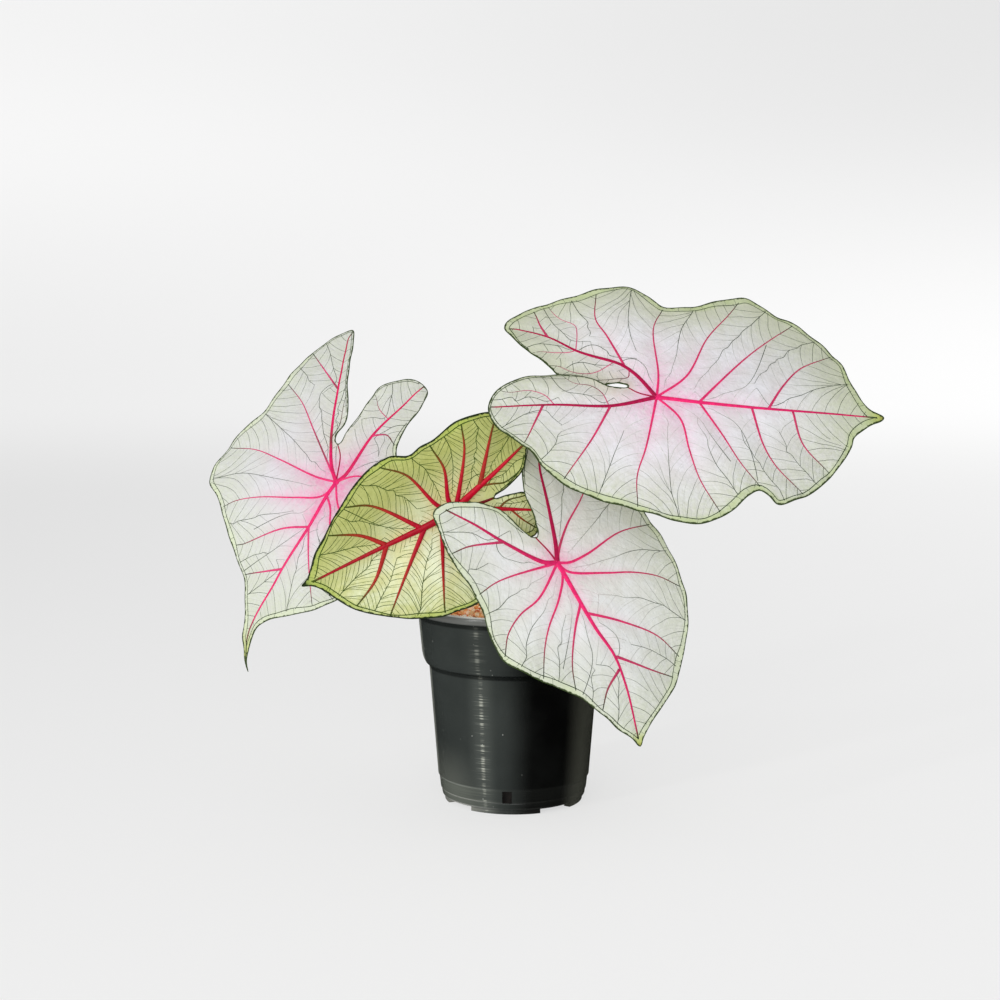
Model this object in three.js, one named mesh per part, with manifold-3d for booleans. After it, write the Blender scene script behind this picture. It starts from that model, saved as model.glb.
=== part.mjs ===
// A potted caladium: four heart-shaped leaves with waved edges, each on its own
// stalk, rising from one tuber that sits in potting mix under a baked-clay grit,
// in a black nursery pot. Millimetres, +Z up. The origin is the centre of the
// pot's base, on the plane that its feet stand on. -Y is the front.

import * as THREE from 'three';
import { mergeVertices } from 'three/addons/utils/BufferGeometryUtils.js';
import ManifoldModule from 'manifold-3d';

const manifold = await ManifoldModule();
manifold.setup();
const { Manifold, Mesh: SolidMesh } = manifold;

// ---------- sizes ----------

const GAP = 0.35; // clearance kept between neighbouring pieces

// Pot
const POT_SEGMENTS = 36;
const POT_OUTSIDE = [
  [48.3, 3.2], [49.2, 4.2], [51.2, 15.4], [52.2, 17.6], [58.6, 94.8],
  [59.9, 95], [61.1, 96.8], [62.4, 100], [63.2, 103.6], [65.8, 129.2],
];
const POT_LIP = [[66.6, 130], [66.8, 132.2], [66, 134.2], [64.8, 134.7], [63.8, 133.8]];
const POT_INSIDE = [[63.2, 128.4], [61.4, 103.4], [60.4, 100.4], [58.6, 97.4], [56.9, 95], [48, 5]];
const POT_FLOOR_TOP = 5;
const POT_FLOOR_UNDERSIDE = 3.2;
const FOOT_COUNT = 4;
const FIRST_FOOT_ANGLE = -1.707; // direction of the middle of the first foot
const FOOT_INNER_RADIUS = 43;
const FOOT_OUTER_RADIUS = 47.5;
const FOOT_ARC = Math.PI / 3.05;
const CENTRE_PAD_RADIUS = 9;
const DRAIN_HOLE_COUNT = 5;
const DRAIN_HOLE_RADIUS = 4.5;
const DRAIN_HOLE_CIRCLE = 28;
const DRAIN_SLOT = [6.4, 8, 8.4]; // width, depth through the wall, height
const DRAIN_SLOT_BOTTOM = 8;
const DRAIN_SLOT_COUNT = 4;
const DRAIN_SLOT_ANGLE = -1.665; // direction of the first slot, seen from above

// Potting mix and grit
const MIX_TOP = 119.4;
const MIX_EDGE_RADIUS = 61.8;
const GRIT_BED_TOP = 124.9;
const GRIT_EDGE_RADIUS = 61.7;
const GRAIN_PITCH = 10.4;
const GRAIN_TOP = 130.4;
const GRAIN_CORNERS = 5;

// Tuber
const TUBER_RADIUS = 23;
const TUBER_HALF_HEIGHT = 16;
const TUBER_CENTRE_Z = 98;

// Leaves
const BLADE_THICKNESS = 0.7;
const MESH_STEP = 12; // distance between the points inside a blade
const MARGIN_STEP = 7.5; // distance between the points along its margin
const FINEST_MARGIN_STEP = 1.6; // and where two parts of the margin lie close together
const VEIN_STEP = 13; // length of the straight pieces of a vein
const VEIN_CLEARANCE = 0.5; // between a blade and the veins and ribs on it
const STALK_SIDES = 8;
const STALK_TOP_RADIUS = 2;
const STALK_FOOT_RADIUS = 3.4;
const HUB_RADIUS = 6.5;
const HUB_SIDES = 10;
const HUB_LENGTH = 4;
const SMALLEST_STEP = 0.06; // slivers under this are merged where strips meet
const LAP_ACROSS = 3.8; // how far one back lobe is drawn across, under the other
const LAP_BEHIND = 1.6;

// Each leaf has a flat frame of its own: u runs from the junction of the stalk
// to the tip, v across it, both in whole millimetres, and the blade lies above
// or below that plane by the shape terms. normal points out of the upper face.
const LEAVES = {
  right: {
    junction: [88.5, -92, 278.9],
    normal: [0.1, -0.81, 0.575],
    tipward: [0.993, 0.047, -0.106],
    shape: {
      droop: 9, lobes: 8, cup: 10, lobeTwist: -6, tipTwist: 4, fold: 0, lap: 11, lapAt: 11,
    },
    wave: { height: 1.6, count: 7, start: 0.4 },
    // the line between the back lobes: the lobe past it is drawn under the other
    seam: [
      [-100, 27], [-74, 18], [-60, 12.7], [-50, 12.3], [-42, 10], [-34, 6.7], [-18, 5.2],
    ],
    outline: [
      [151, 14], [141, 18], [131, 31], [124, 50], [114, 64], [92, 80], [80, 82], [62, 92],
      [49, 89], [22, 78], [4, 77], [-15, 91], [-37, 89], [-50, 84], [-78, 76], [-94, 65],
      [-97, 58], [-93, 51], [-87, 41], [-81, 36], [-73, 29], [-66, 23.5], [-62.5, 18.5],
      [-58, 15], [-50, 13.8], [-42, 11.8], [-34, 8.6], [-23, 7.2], [-18.5, 6], [-19.5, 4.4],
      [-28.5, 4.2], [-34, 5.6], [-41, 8.6], [-49, 11], [-60, 11], [-74, 8.4], [-86, 3.8],
      [-95, -3], [-101, -9], [-104.5, -18], [-104, -26], [-97, -38], [-79, -50], [-70, -60],
      [-58, -69], [-41, -75], [-8, -81], [14, -84], [25, -84], [39, -79], [50, -71], [59, -61],
      [66, -56], [71, -59], [77, -64], [88, -59], [104, -47], [119, -28], [128, -12], [130, -5],
      [139, 4],
    ],
    mainVeins: [
      [[0, 0], [27, 0], [61, 2], [89, 5], [146, 13]],
      [[0, 0], [-20, 22], [-51, 36], [-69, 48], [-88, 56]],
      [[0, 0], [-29, -11], [-64, -15], [-98, -20]],
    ],
    sideVeins: [
      [[0, 0], [1, 17], [-2, 56], [4, 73]],
      [[0, 0], [19, 19], [33, 52], [48, 75], [55, 87]],
      [[27, 0], [60, 43], [79, 64], [90, 75]],
      [[27, 0], [41, -20], [54, -40], [64, -51]],
      [[72, 3], [82, 22], [95, 40], [115, 55]],
      [[61, 2], [69, -24], [77, -37], [93, -51]],
      [[88, 5], [95, -17], [112, -32]],
      [[-20, 22], [-32, 48], [-39, 62], [-39, 84]],
      [[-29, -11], [-40, -37], [-53, -61]],
      [[-71, -16], [-79, -40]],
      [[0, 0], [-6, -37], [-11, -58], [-10, -77]],
      [[0, 0], [15, -14], [21, -35], [28, -54], [40, -72]],
      [[-69, 48], [-74, 59], [-76, 65.6]],
    ],
    stalk: [[86, -64, 257], [70, -36, 215], [43, -20, 165], [22, -8, 134], [12, -4, 108]],
  },
  left: {
    junction: [-121.7, 0, 218.8],
    normal: [-0.255, -0.867, 0.428],
    tipward: [-0.403, -0.307, -0.862],
    shape: { droop: 30, lobes: 8, cup: 10, lobeTwist: 0, tipTwist: 0, fold: 6, lap: 0, lapAt: 0 },
    wave: { height: 1.4, count: 6, start: 1.2 },
    outline: [
      [137, -27.5], [130.5, -32.6], [124, -35], [117, -37.6], [110, -37.4], [95, -40], [82, -45],
      [69, -57], [48, -76], [35, -89], [27, -101], [16, -103], [4, -100], [-15, -94], [-32, -83],
      [-59, -79], [-78, -75], [-94, -69], [-106, -60], [-114, -50], [-101, -42], [-85, -35.3],
      [-67, -26.4], [-51, -17], [-41, -14.8], [-33, -16.2], [-28.5, -15.4], [-26.4, -12.8],
      [-28, -11], [-36, -10], [-45, -8.7], [-55, -6.6], [-64, -5.6], [-73, -4.4], [-81, 2],
      [-88, 12], [-89, 22], [-84, 30], [-74, 31], [-51, 28], [-39, 29], [-28, 34], [-9, 41],
      [15, 47], [40, 46], [60, 39], [73, 30], [89, 9], [97, -8], [103, -20], [108, -25.5],
      [116, -28.3], [124, -30.4], [130.5, -30.5],
    ],
    mainVeins: [
      [[0, 0], [10, -2], [35, -6], [67, -16], [80, -20], [104, -30], [118, -33], [130, -31.6]],
      [[0, 0], [-10, -9], [-39, -24], [-70, -36], [-104, -49]],
      [[0, 0], [-7, 4], [-41, 9], [-67, 18], [-80, 22]],
    ],
    sideVeins: [
      [[-66, -35], [-86, -68]],
      [[0, 0], [-13, -15], [-31, -36], [-48, -56], [-58, -74]],
      [[0, 0], [1, -16], [-3, -50], [-5, -74], [-2, -93]],
      [[0, 0], [12, -5], [19, -24], [27, -54], [34, -71], [40, -79]],
      [[35, -6], [42, -26], [60, -53], [62, -58]],
      [[35, -6], [55, 2], [80, 13]],
      [[67, -16], [77, -42]],
      [[0, 0], [-8, 10], [-14, 34]],
      [[0, 0], [14, 8], [30, 24], [44, 40]],
      [[11, -2], [18, 4], [30, 9], [44, 17], [56, 27]],
      [[-40, 9], [-44, 18], [-40, 25]],
    ],
    stalk: [
      [-114, 15, 204], [-95, 20, 186], [-60, 14, 164], [-24, 6, 148], [-13, 2.5, 130],
      [-10, 1, 108],
    ],
  },
  back: {
    junction: [-38.1, -75, 206.4],
    normal: [-0.08, 0.98, 0.18],
    tipward: [-0.895, 0.009, -0.446],
    shape: { droop: 10, lobes: -6, cup: 8, lobeTwist: 0, tipTwist: 0, fold: 0, lap: 0, lapAt: 0 },
    wave: { height: 1.2, count: 6, start: 2 },
    outline: [
      [108.5, 2.6], [103, 5.6], [98, 10.4], [92, 17], [82, 24], [71, 32], [47, 46], [35, 50],
      [21, 51], [10, 46], [1, 48], [-8, 48], [-27, 52], [-47, 48], [-56, 42], [-62, 33],
      [-62, 22], [-58, 14], [-53, 6], [-48, 2], [-42, -0.5], [-34, -2.6], [-27, -3.4],
      [-26, -4.3], [-27, -5.2], [-33, -6], [-39, -7.4], [-44.5, -9.6], [-48, -16], [-48, -24],
      [-44, -33], [-39, -38.5], [-30, -38], [-18, -41], [-7, -47], [3, -57], [14, -62], [30, -61],
      [40, -59], [55, -52], [75, -38], [85, -29], [95, -13], [98.5, -5.6], [102.5, -0.6],
    ],
    mainVeins: [
      [[0, 0], [16, -1], [49, 0], [101, 2]],
      [[0, 0], [-8, 3], [-21, 7], [-35, 11], [-57, 18]],
      [[0, 0], [-25, -12], [-43, -22]],
    ],
    sideVeins: [
      [[0, 0], [8, 7], [17, 35], [29, 47]],
      [[0, 0], [1, 7], [-6, 28], [-5, 43]],
      [[0, 0], [-4, 5], [-23, 33], [-28, 47]],
      [[-21, 7], [-43, 35], [-49, 42]],
      [[24, -1], [46, 28], [60, 35]],
      [[49, 0], [61, 14], [78, 24]],
      [[22, -1], [56, -31], [66, -40]],
      [[10, -1], [20, -22], [34, -52]],
      [[49, 0], [66, -17], [84, -26]],
    ],
    stalk: [
      [-34, -88, 192], [-21, -89, 170], [-8, -81, 153], [-5, -60, 143], [-5, -34, 138],
      [-5, -16, 126], [-4, -9, 108],
    ],
  },
  front: {
    junction: [26.7, -98, 175.4],
    normal: [0.363, -0.808, 0.464],
    tipward: [0.387, -0.323, -0.864],
    shape: { droop: 14, lobes: 6, cup: 8, lobeTwist: 0, tipTwist: 0, fold: 0, lap: 0, lapAt: 0 },
    wave: { height: 1.4, count: 7, start: 0 },
    outline: [
      [123, 12.6], [118.5, 16.6], [111, 26.5], [95, 52], [84, 62], [68, 73], [49, 81], [35, 84],
      [7, 84], [-15, 79], [-41, 64], [-69, 46], [-81, 37], [-86, 28], [-85, 20], [-66, 5],
      [-54, 0], [-28, -3], [-20, -6], [-21, -10], [-35, -17], [-45, -23], [-51, -32], [-55, -42],
      [-58, -54], [-55, -64], [-38, -66], [-23, -66], [-7, -63], [6, -61], [38, -61], [50, -57],
      [67, -39], [82, -19], [98, -6], [109, 1.5], [117.5, 9],
    ],
    mainVeins: [
      [[0, 0], [27, 4], [47, 8], [66, 14], [87, 15], [116, 13]],
      [[0, 0], [-11, 4], [-41, 12], [-65, 18], [-80, 26]],
      [[0, 0], [-3, -9], [-23, -29], [-39, -42], [-54, -56]],
    ],
    sideVeins: [
      [[0, 0], [-8, 5], [-22, 18], [-36, 36], [-52, 53]],
      [[0, 0], [2, 8], [0, 23], [-8, 53], [-8, 79]],
      [[0, 0], [7, 4], [15, 29], [20, 50], [27, 67], [37, 80]],
      [[36, 6], [48, 29], [63, 51], [79, 62]],
      [[67, 15], [82, 38], [90, 52]],
      [[-23, -29], [-27, -52], [-26, -63]],
      [[0, 0], [0, -43], [4, -58]],
      [[0, 0], [18, -22], [24, -38], [33, -50], [45, -57]],
      [[0, 0], [8, 0], [22, -9], [37, -23], [49, -31], [65, -38]],
      [[29, 4], [43, -6], [63, -16], [78, -19]],
      [[75, 14], [84, 2], [94, -5]],
    ],
    stalk: [[19, -80, 165], [12, -50, 158], [5, -22, 146], [3, -9, 130], [2, -4, 108]],
  },
};

// Widths and heights of the veins on the upper face and the ribs underneath
const VEINS = { mainWidth: 3, sideWidth: 1.9, endWidth: 0.9, height: 0.6 };
const RIBS = { mainWidth: 4.2, sideWidth: 2.6, endWidth: 1.2, height: 1.7 };

// ---------- repeatable random numbers ----------

function makeRandom(seed) {
  let state = seed;
  return () => {
    state = (state * 1664525 + 1013904223) % 4294967296;
    return state / 4294967296;
  };
}

// ---------- solids ----------

// A closed body from points and triangles.
function solidFrom(positions, triangles) {
  return Manifold.ofMesh(new SolidMesh({
    numProp: 3,
    vertProperties: new Float32Array(positions),
    triVerts: new Uint32Array(triangles),
  }));
}

function solidFromGeometry(geometry) {
  const bare = new THREE.BufferGeometry();
  bare.setAttribute('position', geometry.getAttribute('position'));
  if (geometry.index) bare.setIndex(geometry.index);
  const welded = mergeVertices(bare, 1e-4);
  const index = welded.index.array;
  const kept = [];
  for (let i = 0; i < index.length; i += 3) {
    const [a, b, c] = [index[i], index[i + 1], index[i + 2]];
    if (a !== b && b !== c && c !== a) kept.push(a, b, c);
  }
  return solidFrom(welded.getAttribute('position').array, kept);
}

function geometryFromSolid(solid) {
  const mesh = solid.getMesh();
  const geometry = new THREE.BufferGeometry();
  geometry.setAttribute('position', new THREE.BufferAttribute(mesh.vertProperties.slice(), 3));
  geometry.setIndex(new THREE.BufferAttribute(mesh.triVerts.slice(), 1));
  geometry.computeVertexNormals();
  return geometry;
}

// A body of revolution about the Z axis; the profile starts and ends on the axis.
function lathe(profile, segments) {
  const points = profile.map(([r, z]) => new THREE.Vector2(r, z));
  const geometry = new THREE.LatheGeometry(points, segments);
  geometry.rotateX(Math.PI / 2);
  return solidFromGeometry(geometry);
}

// A closed body through rings of points, each ring with the same count.
function loft(rings) {
  const count = rings[0].length;
  const positions = rings.flat().flatMap((p) => [p.x, p.y, p.z]);
  const triangles = [];
  for (let r = 0; r + 1 < rings.length; r += 1) {
    for (let i = 0; i < count; i += 1) {
      const a = r * count + i;
      const b = r * count + ((i + 1) % count);
      triangles.push(a, b, a + count, b, b + count, a + count);
    }
  }
  const last = (rings.length - 1) * count;
  for (let i = 1; i + 1 < count; i += 1) {
    triangles.push(0, i + 1, i);
    triangles.push(last, last + i, last + i + 1);
  }
  return solidFrom(positions, triangles);
}

// ---------- the flat frame of a leaf ----------

// The seam's v at a given u; the seam runs with rising u.
function seamAt(seam, u) {
  if (u <= seam[0][0]) return seam[0][1];
  for (let i = 1; i < seam.length; i += 1) {
    const [u0, v0] = seam[i - 1];
    const [u1, v1] = seam[i];
    if (u <= u1) return THREE.MathUtils.mapLinear(u, u0, u1, v0, v1);
  }
  return seam[seam.length - 1][1];
}

function makeFrame(leaf) {
  const origin = new THREE.Vector3(...leaf.junction);
  const normal = new THREE.Vector3(...leaf.normal).normalize();
  const across = new THREE.Vector3(...leaf.tipward).cross(normal).normalize().negate();
  const along = across.clone().cross(normal).normalize();
  const { droop, lobes, cup, lobeTwist, tipTwist, fold, lap, lapAt } = leaf.shape;

  const heightAt = (u, v) => {
    const tip = Math.max(u, 0) / 100;
    const lobe = Math.max(-u, 0) / 100;
    const easedTip = (tip * tip) / (tip + 0.2);
    const easedLobe = (lobe * lobe) / (lobe + 0.2);
    const side = v / 100;
    const reach = (u * u + v * v) / 10000;
    const angle = Math.atan2(v, u);
    const ripple = leaf.wave.height * reach
      * Math.sin(leaf.wave.count * angle + leaf.wave.start);
    return -droop * tip * tip - lobes * lobe * lobe - cup * side * side
      + lobeTwist * easedLobe * side + tipTwist * easedTip * side
      - fold * (Math.sqrt(side * side + 0.01) - 0.1)
      - lap * easedLobe * Math.tanh((v - lapAt) / 9) + ripple;
  };

  // 1 where a back lobe is drawn fully under the other one, else less, down to 0
  const lappedAt = (u, v) => {
    if (!leaf.seam) return 0;
    const past = v - seamAt(leaf.seam, u);
    if (past <= 0) return 0;
    const { smoothstep } = THREE.MathUtils;
    return Math.exp(-((past / 16) ** 2)) * smoothstep(-u, 24, 38) * (1 - smoothstep(-u, 66, 95));
  };

  const pointAt = (u, v, offset = 0) => {
    const lapped = lappedAt(u, v);
    const point = origin.clone()
      .addScaledVector(along, u)
      .addScaledVector(across, v - LAP_ACROSS * lapped)
      .addScaledVector(normal, heightAt(u, v) - LAP_BEHIND * lapped);
    return offset === 0 ? point : point.addScaledVector(faceNormalAt(u, v), offset);
  };

  // Out of the upper face at a point of the curved blade
  const faceNormalAt = (u, v) => {
    const step = 0.5;
    const du = pointAt(u + step, v).sub(pointAt(u - step, v));
    const dv = pointAt(u, v + step).sub(pointAt(u, v - step));
    return du.cross(dv).normalize();
  };

  return { origin, normal, along, across, pointAt, faceNormalAt };
}

// ---------- the blade ----------

function closedMargin(outline) {
  const curve = new THREE.CatmullRomCurve3(
    outline.map(([u, v]) => new THREE.Vector3(u, v, 0)), true, 'centripetal',
  );
  const count = Math.round(curve.getLength());
  const fine = curve.getSpacedPoints(count).slice(0, count).map((p) => [p.x, p.y]);
  const steps = marginSteps(fine);
  const margin = [];
  let walked = MARGIN_STEP;
  for (let i = 0; i < count; i += 1) {
    const leftOver = count - i;
    if (walked >= steps[i] && leftOver > steps[0] * 0.6) {
      margin.push(fine[i]);
      walked = 0;
    }
    walked += 1;
  }
  return margin;
}

// The step to take at each of a margin's points, which lie 1 mm apart: short where
// the margin comes back close by, as in the notch between the back lobes.
function marginSteps(fine) {
  const count = fine.length;
  const gaps = fine.map(([x, y], i) => fine.reduce((least, [otherX, otherY], j) => {
    const away = Math.abs(i - j);
    const alongMargin = Math.min(away, count - away);
    const straight = Math.hypot(x - otherX, y - otherY);
    return alongMargin > 2 * straight ? Math.min(least, straight) : least;
  }, Infinity));
  const window = 6;
  return gaps.map((_, i) => {
    let least = Infinity;
    for (let k = -window; k <= window; k += 1) {
      least = Math.min(least, gaps[(i + k + count) % count]);
    }
    return THREE.MathUtils.clamp(0.8 * least, FINEST_MARGIN_STEP, MARGIN_STEP);
  });
}

function isInside([x, y], polygon) {
  let inside = false;
  for (let i = 0, j = polygon.length - 1; i < polygon.length; j = i, i += 1) {
    const [xi, yi] = polygon[i];
    const [xj, yj] = polygon[j];
    if ((yi > y) !== (yj > y) && x < ((xj - xi) * (y - yi)) / (yj - yi) + xi) {
      inside = !inside;
    }
  }
  return inside;
}

function distanceToPolygon([x, y], polygon) {
  let nearest = Infinity;
  for (let i = 0; i < polygon.length; i += 1) {
    const [ax, ay] = polygon[i];
    const [bx, by] = polygon[(i + 1) % polygon.length];
    const length2 = (bx - ax) ** 2 + (by - ay) ** 2;
    const t = Math.min(1, Math.max(0, ((x - ax) * (bx - ax) + (y - ay) * (by - ay)) / length2));
    nearest = Math.min(nearest, Math.hypot(x - ax - t * (bx - ax), y - ay - t * (by - ay)));
  }
  return nearest;
}

// Points in staggered rows, clear of the margin
function insidePoints(margin) {
  const points = [];
  const rowStep = (MESH_STEP * Math.sqrt(3)) / 2;
  const us = margin.map(([u]) => u);
  const vs = margin.map(([, v]) => v);
  let row = 0;
  for (let v = Math.min(...vs); v < Math.max(...vs); v += rowStep) {
    const shift = row % 2 === 0 ? 0 : MESH_STEP / 2;
    for (let u = Math.min(...us) + shift; u < Math.max(...us); u += MESH_STEP) {
      const point = [u + 0.013 * row, v];
      const clear = distanceToPolygon(point, margin) > MESH_STEP * 0.55;
      if (clear && isInside(point, margin)) points.push(point);
    }
    row += 1;
  }
  return points;
}

// Delaunay triangles of the points, built up one point at a time from the last,
// so that the margin is cut into the points inside it
function triangulate(points, margin) {
  const span = 4000;
  const all = [...points, [-span, -span], [span, -span], [0, span]];
  const circle = (a, b, c) => {
    const [ax, ay] = all[a];
    const [bx, by] = all[b];
    const [cx, cy] = all[c];
    const d = 2 * (ax * (by - cy) + bx * (cy - ay) + cx * (ay - by));
    const [a2, b2, c2] = [ax * ax + ay * ay, bx * bx + by * by, cx * cx + cy * cy];
    const x = (a2 * (by - cy) + b2 * (cy - ay) + c2 * (ay - by)) / d;
    const y = (a2 * (cx - bx) + b2 * (ax - cx) + c2 * (bx - ax)) / d;
    return { abc: [a, b, c], x, y, r2: (ax - x) ** 2 + (ay - y) ** 2 };
  };
  let found = [circle(points.length, points.length + 1, points.length + 2)];
  for (let p = points.length - 1; p >= 0; p -= 1) {
    const [px, py] = points[p];
    const edges = new Map();
    const kept = [];
    for (const t of found) {
      if ((px - t.x) ** 2 + (py - t.y) ** 2 >= t.r2) {
        kept.push(t);
      } else {
        const [a, b, c] = t.abc;
        for (const [i, j] of [[a, b], [b, c], [c, a]]) {
          const back = `${j},${i}`;
          if (edges.has(back)) edges.delete(back);
          else edges.set(`${i},${j}`, [i, j]);
        }
      }
    }
    for (const [i, j] of edges.values()) kept.push(circle(i, j, p));
    found = kept;
  }
  return found.map((t) => t.abc).filter((abc) => {
    if (abc.some((i) => i >= points.length)) return false;
    const [[ax, ay], [bx, by], [cx, cy]] = abc.map((i) => points[i]);
    return isInside([(ax + bx + cx) / 3, (ay + by + cy) / 3], margin);
  });
}

function makeBlade(leaf, frame) {
  const margin = closedMargin(leaf.outline);
  const points = [...margin, ...insidePoints(margin)];
  const faces = triangulate(points, margin);
  const half = BLADE_THICKNESS / 2;
  const upper = points.map(([u, v]) => frame.pointAt(u, v, half));
  const lower = points.map(([u, v]) => frame.pointAt(u, v, -half));
  const positions = [...upper, ...lower].flatMap((p) => [p.x, p.y, p.z]);
  const under = points.length;
  const triangles = [];
  const sides = new Map();
  for (const [a, b, c] of faces) {
    triangles.push(a, b, c, under + a, under + c, under + b);
    for (const [i, j] of [[a, b], [b, c], [c, a]]) {
      if (sides.has(`${j},${i}`)) sides.delete(`${j},${i}`);
      else sides.set(`${i},${j}`, [i, j]);
    }
  }
  if (sides.size !== margin.length) throw new Error('the blade is not cut along its margin');
  for (const [i, j] of sides.values()) {
    triangles.push(j, i, under + i, j, under + i, under + j);
  }
  return solidFrom(positions, triangles);
}

// ---------- veins and ribs ----------

// A tapering strip of three-cornered section that lies along the blade; side is
// 1 on the upper face and -1 underneath. Those that spring from the junction
// start inside the hub.
function makeStrip(frame, path, startWidth, endWidth, height, side) {
  const curve = new THREE.CatmullRomCurve3(path.map(([u, v]) => new THREE.Vector3(u, v, 0)));
  const [firstU, firstV] = path[0];
  const start = firstU === 0 && firstV === 0 ? (HUB_RADIUS * 0.65) / curve.getLength() : 0;
  const count = Math.max(2, Math.round(curve.getLength() / VEIN_STEP));
  const base = BLADE_THICKNESS / 2 + VEIN_CLEARANCE;
  const rings = [];
  for (let i = 0; i <= count; i += 1) {
    const t = start + (i / count) * (1 - start);
    const { x: u, y: v } = curve.getPointAt(t);
    const direction = curve.getTangentAt(t);
    const half = THREE.MathUtils.lerp(startWidth, endWidth, t) / 2;
    const rise = height * THREE.MathUtils.lerp(1, 0.55, t);
    const [nu, nv] = [-direction.y * half, direction.x * half];
    const left = frame.pointAt(u + nu, v + nv, side * base);
    const right = frame.pointAt(u - nu, v - nv, side * base);
    const crest = frame.pointAt(u, v, side * (base + rise));
    rings.push(side > 0 ? [right, left, crest] : [left, right, crest]);
  }
  return loft(rings);
}

function makeVeins(leaf, frame, sizes, side) {
  const strips = [];
  for (const path of leaf.mainVeins) {
    strips.push(makeStrip(frame, path, sizes.mainWidth, sizes.endWidth, sizes.height, side));
  }
  for (const path of leaf.sideVeins) {
    strips.push(
      makeStrip(frame, path, sizes.sideWidth, sizes.endWidth, sizes.height * 0.7, side),
    );
  }
  return strips;
}

// The low disc that the veins meet in on the upper face, and the boss of the
// ribs underneath, which the stalk meets: [depth, radius] of each ring.
function makeHub(frame, levels, side) {
  const rings = levels.map(([depth, radius]) => {
    const ring = [];
    for (let i = 0; i < HUB_SIDES; i += 1) {
      const angle = (i / HUB_SIDES) * Math.PI * 2;
      ring.push(frame.origin.clone()
        .addScaledVector(frame.along, Math.cos(angle) * radius)
        .addScaledVector(frame.across, side * Math.sin(angle) * radius)
        .addScaledVector(frame.normal, side * depth));
    }
    return ring;
  });
  return loft(rings);
}

// ---------- stalks ----------

// A stalk tapers from its foot in the mix to the hub under its blade; extra is
// added to the radius for the hole that it stands in.
function makeStalk(leaf, frame, extra = 0) {
  const top = frame.origin.clone().addScaledVector(frame.normal, -HUB_LENGTH - GAP);
  const lead = frame.origin.clone().addScaledVector(frame.normal, -HUB_LENGTH - 6);
  const route = leaf.stalk.map((p) => new THREE.Vector3(...p));
  const curve = new THREE.CatmullRomCurve3([top, lead, ...route], false, 'centripetal');
  const count = Math.round(curve.getLength() / 14);
  const frames = curve.computeFrenetFrames(count, false);
  const rings = [];
  for (let i = 0; i <= count; i += 1) {
    const t = i / count;
    const centre = curve.getPointAt(t);
    const radius = THREE.MathUtils.lerp(STALK_TOP_RADIUS, STALK_FOOT_RADIUS, t) + extra;
    const ring = [];
    for (let k = 0; k < STALK_SIDES; k += 1) {
      const angle = (k / STALK_SIDES) * Math.PI * 2;
      ring.push(centre.clone()
        .addScaledVector(frames.normals[i], Math.cos(angle) * radius)
        .addScaledVector(frames.binormals[i], Math.sin(angle) * radius));
    }
    rings.push(ring);
  }
  return loft(rings);
}

// ---------- tuber, mix, grit ----------

function makeTuber(extra = 0) {
  const geometry = new THREE.SphereGeometry(1, 14, 8);
  geometry.rotateX(Math.PI / 2);
  const position = geometry.getAttribute('position');
  for (let i = 0; i < position.count; i += 1) {
    const [x, y, z] = [position.getX(i), position.getY(i), position.getZ(i)];
    const angle = Math.atan2(y, x);
    const knob = 1 + 0.07 * Math.sin(3 * angle + 1) * (1 - z * z);
    position.setXYZ(
      i,
      x * knob * (TUBER_RADIUS + extra),
      y * knob * (TUBER_RADIUS + extra),
      TUBER_CENTRE_Z + z * (TUBER_HALF_HEIGHT + extra),
    );
  }
  return solidFromGeometry(geometry);
}

function makeMix() {
  const wall = POT_INSIDE.filter(([, z]) => z < MIX_TOP).reverse();
  const profile = [
    [0, POT_FLOOR_TOP + GAP],
    ...wall.map(([r, z]) => [r - GAP - 0.1, Math.max(z, POT_FLOOR_TOP + GAP) + 0.1]),
    [MIX_EDGE_RADIUS, MIX_TOP],
    [0, MIX_TOP],
  ];
  profile[0][1] = profile[1][1];
  return lathe(profile, POT_SEGMENTS);
}

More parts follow.
